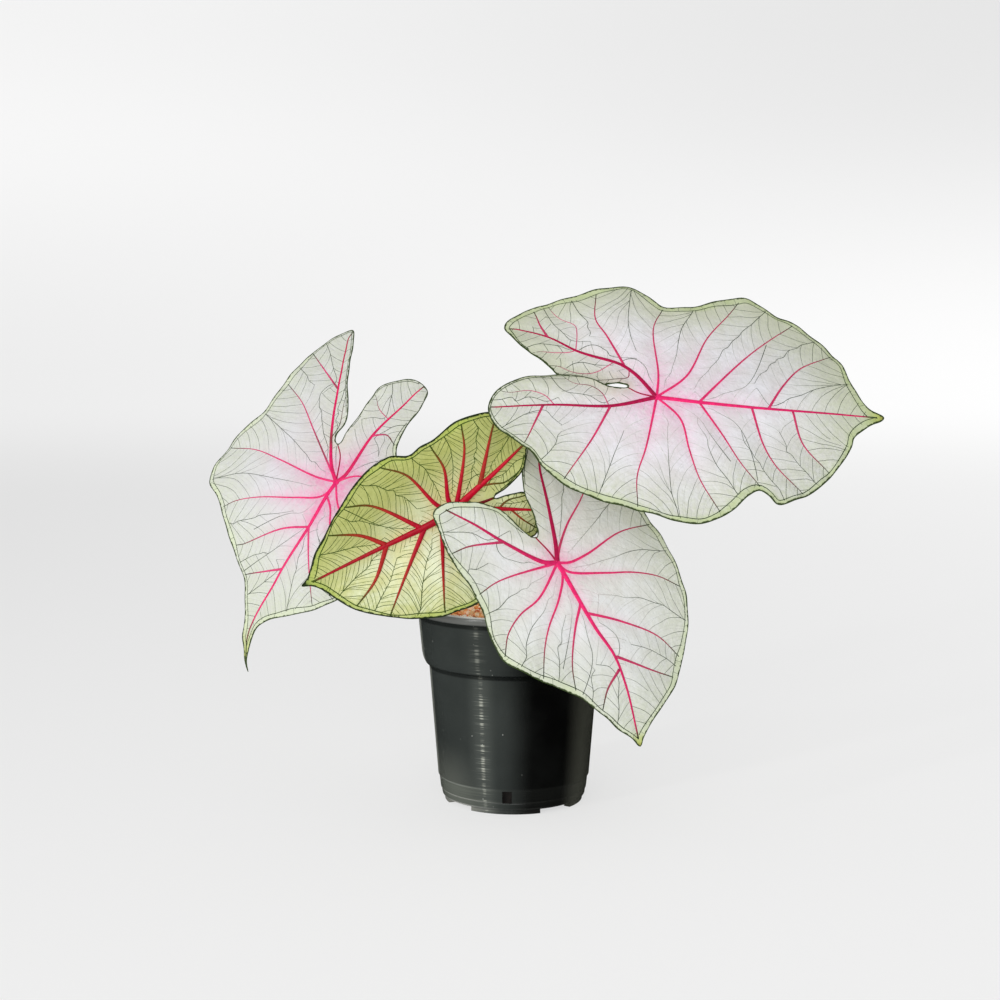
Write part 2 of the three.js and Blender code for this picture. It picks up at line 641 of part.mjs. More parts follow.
// A bed with a grain raised at each place of a jittered, staggered grid: a
// domed top, a shoulder ring, and low points between the grains.
function makeGrit() {
  const random = makeRandom(41);
  const jitter = (size) => (random() - 0.5) * size;
  const edge = [];
  for (let i = 0; i < POT_SEGMENTS; i += 1) {
    const angle = ((i + 0.5) / POT_SEGMENTS) * Math.PI * 2;
    edge.push([Math.cos(angle) * GRIT_EDGE_RADIUS, Math.sin(angle) * GRIT_EDGE_RADIUS]);
  }
  const points = [...edge];
  const heights = edge.map(() => GRIT_BED_TOP);
  const place = (x, y, z) => {
    if (Math.hypot(x, y) > GRIT_EDGE_RADIUS - 2) return;
    points.push([x, y]);
    heights.push(z);
  };
  const rowStep = (GRAIN_PITCH * Math.sqrt(3)) / 2;
  const rows = Math.ceil(GRIT_EDGE_RADIUS / rowStep);
  for (let row = -rows; row <= rows; row += 1) {
    for (let column = -rows; column <= rows; column += 1) {
      const x = (column + (row % 2 === 0 ? 0 : 0.5)) * GRAIN_PITCH;
      const y = row * rowStep;
      const top = GRAIN_TOP - random() * 2;
      const [shiftX, shiftY, turn] = [jitter(2), jitter(2), random() * 6];
      if (Math.hypot(x, y) < GRIT_EDGE_RADIUS - GRAIN_PITCH * 0.55) {
        place(x + shiftX, y + shiftY, top);
        for (let k = 0; k < GRAIN_CORNERS; k += 1) {
          const angle = turn + (k / GRAIN_CORNERS) * Math.PI * 2;
          const reach = GRAIN_PITCH * (0.3 + 0.06 * random());
          place(
            x + shiftX + Math.cos(angle) * reach,
            y + shiftY + Math.sin(angle) * reach,
            top - 1.2 + jitter(0.8),
          );
        }
      }
      place(x + jitter(0.6), y + GRAIN_PITCH * 0.577 + jitter(0.6), GRIT_BED_TOP);
      place(x + jitter(0.6), y - GRAIN_PITCH * 0.577 + jitter(0.6), GRIT_BED_TOP);
    }
  }
  const faces = triangulate(points, edge);
  const positions = points.flatMap(([x, y], i) => [x, y, heights[i]]);
  const bottom = MIX_TOP + GAP;
  const under = points.length;
  edge.forEach(([x, y]) => positions.push(x, y, bottom));
  positions.push(0, 0, bottom);
  const centre = under + edge.length;
  const triangles = faces.flat();
  for (let i = 0; i < edge.length; i += 1) {
    const next = (i + 1) % edge.length;
    triangles.push(i, under + i, next, next, under + i, under + next);
    triangles.push(under + i, centre, under + next);
  }
  return solidFrom(positions, triangles);
}

// ---------- pot ----------

function makePot() {
  const body = lathe(
    [[0, POT_FLOOR_UNDERSIDE], ...POT_OUTSIDE, ...POT_LIP, ...POT_INSIDE, [0, POT_FLOOR_TOP]],
    POT_SEGMENTS,
  );
  const added = [];
  for (let i = 0; i < FOOT_COUNT; i += 1) {
    const middle = FIRST_FOOT_ANGLE + (i * Math.PI * 2) / FOOT_COUNT;
    const shape = new THREE.Shape();
    shape.absarc(0, 0, FOOT_OUTER_RADIUS, middle - FOOT_ARC / 2, middle + FOOT_ARC / 2, false);
    shape.absarc(0, 0, FOOT_INNER_RADIUS, middle + FOOT_ARC / 2, middle - FOOT_ARC / 2, true);
    const foot = new THREE.ExtrudeGeometry(shape, {
      depth: POT_FLOOR_UNDERSIDE + 0.8, bevelEnabled: false, curveSegments: 4,
    });
    added.push(solidFromGeometry(foot));
  }
  const pad = new THREE.CylinderGeometry(
    CENTRE_PAD_RADIUS, CENTRE_PAD_RADIUS, POT_FLOOR_UNDERSIDE + 0.8, 12,
  );
  pad.rotateX(Math.PI / 2);
  pad.translate(0, 0, (POT_FLOOR_UNDERSIDE + 0.8) / 2);
  added.push(solidFromGeometry(pad));
  const cuts = [];
  for (let i = 0; i < DRAIN_HOLE_COUNT; i += 1) {
    const angle = Math.PI / 2 + (i * Math.PI * 2) / DRAIN_HOLE_COUNT;
    const hole = new THREE.CylinderGeometry(DRAIN_HOLE_RADIUS, DRAIN_HOLE_RADIUS, 8, 10);
    hole.rotateX(Math.PI / 2);
    hole.translate(
      Math.cos(angle) * DRAIN_HOLE_CIRCLE, Math.sin(angle) * DRAIN_HOLE_CIRCLE, POT_FLOOR_TOP,
    );
    cuts.push(solidFromGeometry(hole));
  }
  const [slotWidth, slotDepth, slotHeight] = DRAIN_SLOT;
  for (let i = 0; i < DRAIN_SLOT_COUNT; i += 1) {
    const angle = DRAIN_SLOT_ANGLE + (i * Math.PI * 2) / DRAIN_SLOT_COUNT;
    const slot = new THREE.BoxGeometry(slotDepth, slotWidth, slotHeight);
    slot.translate(48, 0, DRAIN_SLOT_BOTTOM + slotHeight / 2);
    slot.rotateZ(angle);
    cuts.push(solidFromGeometry(slot));
  }
  return Manifold.union([body, ...added]).subtract(Manifold.union(cuts));
}

// ---------- colours ----------

function material(color, roughness, metalness = 0) {
  return new THREE.MeshStandardMaterial({ color, roughness, metalness });
}

const POT_PLASTIC = material('#2b2d2c', 0.5);
const MIX = material('#3a2b20', 0.95);
const CLAY_GRIT = material('#cf8451', 0.9);
const TUBER_SKIN = material('#6b4a33', 0.9);
const LEAF_WHITE = material('#e3e8e2', 0.55);
const LEAF_GREEN = material('#b9c07c', 0.6);
const VEIN_PINK = material('#d92760', 0.5);
const RIB_RED = material('#b3163a', 0.5);
const STALK = material('#7f8c54', 0.5);

// ---------- the plant ----------

const plant = new THREE.Group();

function addPiece(name, solid, look) {
  const mesh = new THREE.Mesh(geometryFromSolid(solid), look);
  mesh.name = name;
  plant.add(mesh);
}

const stalks = [];
const stalkHoles = [];
for (const [name, leaf] of Object.entries(LEAVES)) {
  const frame = makeFrame(leaf);
  const blade = makeBlade(leaf, frame);
  const start = BLADE_THICKNESS / 2 + VEIN_CLEARANCE + 0.1;
  const disc = makeHub(frame, [[start, HUB_RADIUS], [start + VEINS.height, HUB_RADIUS / 2]], 1);
  const boss = makeHub(
    frame, [[start, HUB_RADIUS], [start + 1.2, HUB_RADIUS / 2], [HUB_LENGTH, 2.2]], -1,
  );
  const veins = Manifold.union([...makeVeins(leaf, frame, VEINS, 1), disc]);
  const ribs = Manifold.union([...makeVeins(leaf, frame, RIBS, -1), boss]);
  addPiece(`leaf_${name}_blade`, blade, name === 'back' ? LEAF_GREEN : LEAF_WHITE);
  addPiece(`leaf_${name}_veins`, veins.simplify(SMALLEST_STEP), VEIN_PINK);
  addPiece(`leaf_${name}_ribs`, ribs.simplify(SMALLEST_STEP), RIB_RED);
  stalks.push([name, makeStalk(leaf, frame)]);
  stalkHoles.push(makeStalk(leaf, frame, GAP + 0.05));
}

const tuberSeat = makeTuber(GAP);
for (const [name, stalk] of stalks) {
  addPiece(`leaf_${name}_stalk`, stalk.subtract(tuberSeat), STALK);
}
const holes = Manifold.union(stalkHoles);
addPiece('tuber', makeTuber(), TUBER_SKIN);
addPiece('potting_mix', makeMix().subtract(Manifold.union([holes, tuberSeat])), MIX);
addPiece('clay_grit', makeGrit().subtract(holes), CLAY_GRIT);
addPiece('pot', makePot(), POT_PLASTIC);

export default plant;
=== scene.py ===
"""The looks of a potted caladium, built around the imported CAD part.

Four heart-shaped leaves stand on long stalks in a black nursery pot. Each leaf is
made of three pieces: the lamina, the veins on its upper face and the ribs under it.
The fine net of veins is real relief: thin strips that lie on the curved lamina.
Sizes are in millimetres until a mesh is made.
"""
import math

import bpy
import numpy as np
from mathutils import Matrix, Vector
from mathutils.geometry import delaunay_2d_cdt
from mathutils.kdtree import KDTree


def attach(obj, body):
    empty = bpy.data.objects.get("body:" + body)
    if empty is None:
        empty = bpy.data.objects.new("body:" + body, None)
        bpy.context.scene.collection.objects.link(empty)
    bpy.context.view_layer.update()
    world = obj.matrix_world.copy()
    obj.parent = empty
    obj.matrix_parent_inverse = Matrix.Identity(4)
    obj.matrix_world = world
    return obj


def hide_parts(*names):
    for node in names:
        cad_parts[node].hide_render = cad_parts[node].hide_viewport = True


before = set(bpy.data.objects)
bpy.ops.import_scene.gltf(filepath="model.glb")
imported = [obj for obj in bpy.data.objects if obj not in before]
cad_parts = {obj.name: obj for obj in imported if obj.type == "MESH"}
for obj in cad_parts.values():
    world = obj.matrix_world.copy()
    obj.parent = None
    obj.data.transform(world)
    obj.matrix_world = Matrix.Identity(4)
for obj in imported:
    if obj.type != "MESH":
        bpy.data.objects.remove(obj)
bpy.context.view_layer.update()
bpy.ops.object.select_all(action="DESELECT")

MM = 0.001

# ---------- the leaves ----------

# What the shape of a leaf leaves out is flat
PLAIN_SHAPE = {"lobe_twist": 0, "tip_twist": 0, "fold": 0, "lap": 0, "lap_at": 0}

# Each leaf has a flat frame: u runs from the junction of the stalk to the tip and v
# across it, in millimetres. The blade lies above or below that plane by its shape:
# how far it drops at the tip, at the back lobes and at the sides, each SPAN out, how
# far the tip and the lobes twist, how far it folds along the midrib, and how far the
# back lobes part in height on the two sides of lap_at. wave is the height, count and
# start of its slow waves.
# band is the width of the green margin. glow is the strength of the pink glow, how far
# it spreads from the veins, and its radius round the junction. tip_scale is small
# where the tip is drawn out long. veining scales the width of the veins, the width of
# the net, and how early the veins turn green on their way to the margin, and says how
# far out the net turns dark.
LEAVES = {
    "right": {
        "junction": (88.5, -92, 278.9),
        "normal": (0.1, -0.81, 0.575),
        "tipward": (0.993, 0.047, -0.106),
        "shape": {**PLAIN_SHAPE, "droop": 9, "lobes": 8, "cup": 10, "lobe_twist": -6,
                  "tip_twist": 4, "lap": 11, "lap_at": 11},
        "wave": (1.6, 7, 0.4),
        "band": 3.9,
        "tip_scale": 1.0,
        "glow": (0.72, 1.5, 24),
        "veining": (1.0, 1.0, 0.8, 0.45),
        # the line between the back lobes: the lobe past it is drawn under the other
        "seam": [(-100, 27), (-74, 18), (-60, 12.7), (-50, 12.3), (-42, 10), (-34, 6.7),
                 (-18, 5.2)],
        "outline": [
            (151, 14), (141, 18), (131, 31), (124, 50), (114, 64), (92, 80), (80, 82),
            (62, 92), (49, 89), (22, 78), (4, 77), (-15, 91), (-37, 89), (-50, 84),
            (-78, 76), (-94, 65), (-97, 58), (-93, 51), (-87, 41), (-81, 36), (-73, 29),
            (-66, 23.5), (-62.5, 18.5), (-58, 15), (-50, 13.8), (-42, 11.8), (-34, 8.6),
            (-23, 7.2), (-18.5, 6), (-19.5, 4.4), (-28.5, 4.2), (-34, 5.6), (-41, 8.6),
            (-49, 11), (-60, 11), (-74, 8.4), (-86, 3.8), (-95, -3), (-101, -9),
            (-104.5, -18), (-104, -26), (-97, -38), (-79, -50), (-70, -60), (-58, -69),
            (-41, -75), (-8, -81), (14, -84), (25, -84), (39, -79), (50, -71), (59, -61),
            (66, -56), (71, -59), (77, -64), (88, -59), (104, -47), (119, -28),
            (128, -12), (130, -5), (139, 4),
        ],
        "main_veins": [
            [(0, 0), (27, 0), (61, 2), (89, 5), (146, 13)],
            [(0, 0), (-20, 22), (-51, 36), (-69, 48), (-88, 56)],
            [(0, 0), (-29, -11), (-64, -15), (-98, -20)],
        ],
        "side_veins": [
            [(0, 0), (1, 17), (-2, 56), (4, 73)],
            [(0, 0), (19, 19), (33, 52), (48, 75), (55, 87)],
            [(27, 0), (60, 43), (79, 64), (90, 75)],
            [(27, 0), (41, -20), (54, -40), (64, -51)],
            [(72, 3), (82, 22), (95, 40), (115, 55)],
            [(61, 2), (69, -24), (77, -37), (93, -51)],
            [(88, 5), (95, -17), (112, -32)],
            [(-20, 22), (-32, 48), (-39, 62), (-39, 84)],
            [(-29, -11), (-40, -37), (-53, -61)],
            [(-71, -16), (-79, -40)],
            [(0, 0), (-6, -37), (-11, -58), (-10, -77)],
            [(0, 0), (15, -14), (21, -35), (28, -54), (40, -72)],
            [(-69, 48), (-74, 59), (-76, 65.6)],
        ],
        "thin_veins": [
            [(-28, 25), (-34.6, 21), (-42, 19), (-53.5, 20.6), (-60, 24)],
            [(-17.5, 19.5), (-18.3, 13), (-27, 11.4), (-35, 13)],
            [(-51, 36), (-55.3, 34.5), (-62, 34.3), (-72, 35.5)],
            [(-64, -15), (-70.2, -8.5), (-80.3, -5.9), (-90.2, -8.4)],
            [(-30, -11), (-34.8, -1.7), (-42, 2.6), (-49.6, 3)],
            [(-51, 36), (-50.5, 50.3), (-51.9, 57.4), (-59, 62.2)],
        ],
        "sinus_veins": [[(0, 0), (-12, 1.6), (-18.5, 4.6)]],
        "stalk": [(86, -64, 257), (70, -36, 215), (43, -20, 165), (22, -8, 134),
                  (12, -4, 108)],
    },
    "left": {
        "junction": (-121.7, 0, 218.8),
        "normal": (-0.255, -0.867, 0.428),
        "tipward": (-0.403, -0.307, -0.862),
        "shape": {**PLAIN_SHAPE, "droop": 30, "lobes": 8, "cup": 10, "fold": 6},
        "wave": (1.4, 6, 1.2),
        "band": 3.2,
        "tip_scale": 0.45,
        "glow": (1.0, 2.7, 19),
        "veining": (0.95, 0.9, 1.1, 0.42),
        "outline": [
            (137, -27.5), (130.5, -32.6), (124, -35), (117, -37.6), (110, -37.4),
            (95, -40), (82, -45), (69, -57), (48, -76), (35, -89), (27, -101), (16, -103),
            (4, -100), (-15, -94), (-32, -83), (-59, -79), (-78, -75), (-94, -69),
            (-106, -60), (-114, -50), (-101, -42), (-85, -35.3), (-67, -26.4), (-51, -17),
            (-41, -14.8), (-33, -16.2), (-28.5, -15.4), (-26.4, -12.8), (-28, -11),
            (-36, -10), (-45, -8.7), (-55, -6.6), (-64, -5.6), (-73, -4.4), (-81, 2),
            (-88, 12), (-89, 22), (-84, 30), (-74, 31), (-51, 28), (-39, 29), (-28, 34),
            (-9, 41), (15, 47), (40, 46), (60, 39), (73, 30), (89, 9), (97, -8),
            (103, -20), (108, -25.5), (116, -28.3), (124, -30.4), (130.5, -30.5),
        ],
        "main_veins": [
            [(0, 0), (10, -2), (35, -6), (67, -16), (80, -20), (104, -30), (118, -33),
             (130, -31.6)],
            [(0, 0), (-10, -9), (-39, -24), (-70, -36), (-104, -49)],
            [(0, 0), (-7, 4), (-41, 9), (-67, 18), (-80, 22)],
        ],
        "side_veins": [
            [(-66, -35), (-86, -68)],
            [(0, 0), (-13, -15), (-31, -36), (-48, -56), (-58, -74)],
            [(0, 0), (1, -16), (-3, -50), (-5, -74), (-2, -93)],
            [(0, 0), (12, -5), (19, -24), (27, -54), (34, -71), (40, -79)],
            [(35, -6), (42, -26), (60, -53), (62, -58)],
            [(35, -6), (55, 2), (80, 13)],
            [(67, -16), (77, -42)],
            [(0, 0), (-8, 10), (-14, 34)],
            [(0, 0), (14, 8), (30, 24), (44, 40)],
            [(11, -2), (18, 4), (30, 9), (44, 17), (56, 27)],
            [(-40, 9), (-44, 18), (-40, 25)],
        ],
        "thin_veins": [
            [(-30, -19), (-38, -18), (-50, -21.5), (-60, -25)],
            [(-55, 14), (-60, 4), (-66, -1)],
        ],
        "sinus_veins": [[(0, 0), (-19, -6.4), (-26, -12.5)]],
        "stalk": [(-114, 15, 204), (-95, 20, 186), (-60, 14, 164), (-24, 6, 148),
                  (-13, 2.5, 130), (-10, 1, 108)],
    },
    "back": {
        "junction": (-38.1, -75, 206.4),
        "normal": (-0.08, 0.98, 0.18),
        "tipward": (-0.895, 0.009, -0.446),
        "shape": {**PLAIN_SHAPE, "droop": 10, "lobes": -6, "cup": 8},
        "wave": (1.2, 6, 2),
        "band": 3.2,
        "tip_scale": 1.5,
        "glow": (0.75, 1.3, 9),
        "veining": (1.15, 1.3, 1.15, 0.0),
        "outline": [
            (108.5, 2.6), (103, 5.6), (98, 10.4), (92, 17), (82, 24), (71, 32), (47, 46),
            (35, 50), (21, 51), (10, 46), (1, 48), (-8, 48), (-27, 52), (-47, 48),
            (-56, 42), (-62, 33), (-62, 22), (-58, 14), (-53, 6), (-48, 2), (-42, -0.5),
            (-34, -2.6), (-27, -3.4), (-26, -4.3), (-27, -5.2), (-33, -6), (-39, -7.4),
            (-44.5, -9.6), (-48, -16), (-48, -24), (-44, -33), (-39, -38.5), (-30, -38),
            (-18, -41), (-7, -47), (3, -57), (14, -62), (30, -61), (40, -59), (55, -52),
            (75, -38), (85, -29), (95, -13), (98.5, -5.6), (102.5, -0.6),
        ],
        "main_veins": [
            [(0, 0), (16, -1), (49, 0), (101, 2)],
            [(0, 0), (-8, 3), (-21, 7), (-35, 11), (-57, 18)],
            [(0, 0), (-25, -12), (-43, -22)],
        ],
        "side_veins": [
            [(0, 0), (8, 7), (17, 35), (29, 47)],
            [(0, 0), (1, 7), (-6, 28), (-5, 43)],
            [(0, 0), (-4, 5), (-23, 33), (-28, 47)],
            [(-21, 7), (-43, 35), (-49, 42)],
            [(24, -1), (46, 28), (60, 35)],
            [(49, 0), (61, 14), (78, 24)],
            [(22, -1), (56, -31), (66, -40)],
            [(10, -1), (20, -22), (34, -52)],
            [(49, 0), (66, -17), (84, -26)],
        ],
        "thin_veins": [
            [(-21, 7), (-29, 4.6), (-36, 1.8), (-44, 2.8), (-50, 5)],
            [(-25, -12), (-33, -9.6), (-43, -11.8)],
            [(-32, -16), (-35.6, -25), (-41, -34.5)],
        ],
        "sinus_veins": [[(0, 0), (-15, -3), (-26, -4.3)]],
        "stalk": [(-34, -88, 192), (-21, -89, 170), (-8, -81, 153), (-5, -60, 143),
                  (-5, -34, 138), (-5, -16, 126), (-4, -9, 108)],
    },
    "front": {
        "junction": (26.7, -98, 175.4),
        "normal": (0.363, -0.808, 0.464),
        "tipward": (0.387, -0.323, -0.864),
        "shape": {**PLAIN_SHAPE, "droop": 14, "lobes": 6, "cup": 8},
        "wave": (1.4, 7, 0),
        "band": 3.7,
        "tip_scale": 1.3,
        "glow": (0.85, 1.1, 11),
        "veining": (1.15, 1.0, 1.0, 0.5),
        "outline": [
            (123, 12.6), (118.5, 16.6), (111, 26.5), (95, 52), (84, 62), (68, 73),
            (49, 81), (35, 84), (7, 84), (-15, 79), (-41, 64), (-69, 46), (-81, 37),
            (-86, 28), (-85, 20), (-66, 5), (-54, 0), (-28, -3), (-20, -6), (-21, -10),
            (-35, -17), (-45, -23), (-51, -32), (-55, -42), (-58, -54), (-55, -64),
            (-38, -66), (-23, -66), (-7, -63), (6, -61), (38, -61), (50, -57), (67, -39),
            (82, -19), (98, -6), (109, 1.5), (117.5, 9),
        ],
        "main_veins": [
            [(0, 0), (27, 4), (47, 8), (66, 14), (87, 15), (116, 13)],
            [(0, 0), (-11, 4), (-41, 12), (-65, 18), (-80, 26)],
            [(0, 0), (-3, -9), (-23, -29), (-39, -42), (-54, -56)],
        ],
        "side_veins": [
            [(0, 0), (-8, 5), (-22, 18), (-36, 36), (-52, 53)],
            [(0, 0), (2, 8), (0, 23), (-8, 53), (-8, 79)],
            [(0, 0), (7, 4), (15, 29), (20, 50), (27, 67), (37, 80)],
            [(36, 6), (48, 29), (63, 51), (79, 62)],
            [(67, 15), (82, 38), (90, 52)],
            [(-23, -29), (-27, -52), (-26, -63)],
            [(0, 0), (0, -43), (4, -58)],
            [(0, 0), (18, -22), (24, -38), (33, -50), (45, -57)],
            [(0, 0), (8, 0), (22, -9), (37, -23), (49, -31), (65, -38)],
            [(29, 4), (43, -6), (63, -16), (78, -19)],
            [(75, 14), (84, 2), (94, -5)],
        ],
        "thin_veins": [],
        "sinus_veins": [[(0, 0), (-9, -2.6), (-20, -7.6)]],
        "stalk": [(19, -80, 165), (12, -50, 158), (5, -22, 146), (3, -9, 130),
                  (2, -4, 108)],
    },
}

SPAN = 100.0            # the amounts of a leaf's shape hold this far out
EASE = 0.2              # how softly its twists and its lap begin, in spans
LAMINA_THICKNESS = 0.5
LAMINA_STEP = 1.7       # between the points inside a lamina
LAMINA_SCATTER = 0.15   # how far each of them is off its place in the lattice
LAMINA_CLEAR = 2.3      # and how far they stay from the margin
MARGIN_STEP = 1.2       # between the points along the margin
RIM_STEP = 0.5          # between the points that the distance to the margin is read from
CHART_EDGE = 6          # how far the maps of a leaf reach past its margin
PUCKER = 0.9            # how far the lamina bulges between its veins
PUCKER_REACH = 4.5      # and how far from a vein the bulge is full
PUCKER_MEAN = 0.6       # share of the bulge that the whole lamina sinks again
RUFFLE = 0.6            # small waves along the margin
RUFFLE_LENGTH = 21.0
RUFFLE_DEPTH = 5.0      # how far in from the margin they have faded to a third
BAND_START = 0.8        # width of the green margin beside the junction
ARC_PITCH = 3.0         # between the fine cross veins that leave a vein
ARC_FIRST = 5.0         # from the start of a vein to the first of them
ARC_LAST = 4.0          # and from the last to its end
ARC_STEP = 1.5
ARC_STEPS = 40
ARC_ANGLE = math.radians(64)
ARC_BEND = 0.028        # how much of that angle a millimetre away from the vein takes off
STRONG_EVERY = 3        # every so many cross veins is a thicker one
LAP_ACROSS = 3.8        # how far one back lobe is drawn under the other
LAP_BEHIND = 1.6
LAP_FADE = 16.0         # how far past the seam that reaches
LAP_BEGINS, LAP_ENDS = (24, 38), (66, 95)    # how far back it grows, and fades again
STALK_TOP_RADIUS = 2.0
STALK_FOOT_RADIUS = 3.4
STALK_SIDES = 20
STALK_STEP = 3.5
STALK_LEAD = 6.0        # how far a stalk keeps straight behind its leaf
HUB_LENGTH = 4.0
HUB_RADIUS = 2.4        # of the low dome where the veins meet
HUB_RISE = 0.6          # and its height on the upper face
CLEARANCE = 0.35
GRIT_TOP = 126.4        # the height at which the stalks come out of the grit
FIRST_SEED = 11

# ---------- small tools ----------


def unit(vector):
    vector = np.asarray(vector, float)
    return vector / np.linalg.norm(vector)


def smoothstep(low, high, value):
    t = np.clip((value - low) / (high - low), 0, 1)
    return t * t * (3 - 2 * t)


def smooth_path(points, closed=False, pieces=14):
    """A centripetal Catmull-Rom curve through the points, in two or three dimensions."""
    p = np.asarray(points, float)
    if closed:
        ring = np.concatenate([p[-1:], p, p[:2]])
    else:
        ring = np.concatenate([2 * p[:1] - p[1:2], p, 2 * p[-1:] - p[-2:-1]])
    found = []
    for a, b, c, d in zip(ring, ring[1:], ring[2:], ring[3:]):
        ab, bc, cd = (math.sqrt(max(np.linalg.norm(y - x), 1e-6))
                      for x, y in ((a, b), (b, c), (c, d)))
        leave = ((b - a) / ab - (c - a) / (ab + bc) + (c - b) / bc) * bc
        arrive = ((c - b) / bc - (d - b) / (bc + cd) + (d - c) / cd) * bc
        t = np.linspace(0, 1, pieces, endpoint=False)[:, None]
        found.append(b + leave * t + (3 * (c - b) - 2 * leave - arrive) * t ** 2
                     + (2 * (b - c) + leave + arrive) * t ** 3)
    path = np.concatenate(found)
    return path if closed else np.concatenate([path, p[-1:]])


def even(path, step, closed=False):
    """The same path with points at even steps along it."""
    if closed:
        path = np.concatenate([path, path[:1]])
    run = np.concatenate([[0], np.cumsum(np.linalg.norm(np.diff(path, axis=0), axis=1))])
    count = max(2, round(run[-1] / step) + 1)
    at = np.linspace(0, run[-1], count)
    made = np.stack([np.interp(at, run, path[:, k]) for k in range(path.shape[1])], 1)
    return made[:-1] if closed else made


def tangents(path):
    return np.array([unit(t) for t in np.gradient(path, axis=0)])


def left_of(directions):
    """Each direction turned a quarter to the left."""
    return np.stack([-directions[:, 1], directions[:, 0]], 1)


def is_inside(points, polygon):
    """Which points lie inside: the ones whose level ray crosses an odd number of sides."""
    inside = np.zeros(len(points), bool)
    x, y = points[:, 0], points[:, 1]
    for (ax, ay), (bx, by) in zip(polygon, np.roll(polygon, -1, 0)):
        if ay == by:
            continue
        crosses = (ay > y) != (by > y)
        inside ^= crosses & (x < (bx - ax) * (y - ay) / (by - ay) + ax)
    return inside


def nearest(points, samples):
    """For each point the distance to the nearest sample, and its index."""
    tree = KDTree(len(samples))
    for index, (x, y) in enumerate(samples.tolist()):
        tree.insert((x, y, 0), index)
    tree.balance()
    found = [tree.find((x, y, 0)) for x, y in points.tolist()]
    return np.array([f[2] for f in found]), np.array([f[1] for f in found])


# ---------- a leaf's surface ----------


VEIN_KINDS = ("main_veins", "side_veins", "thin_veins", "sinus_veins")
MAIN, SIDE, THIN, SINUS = range(4)


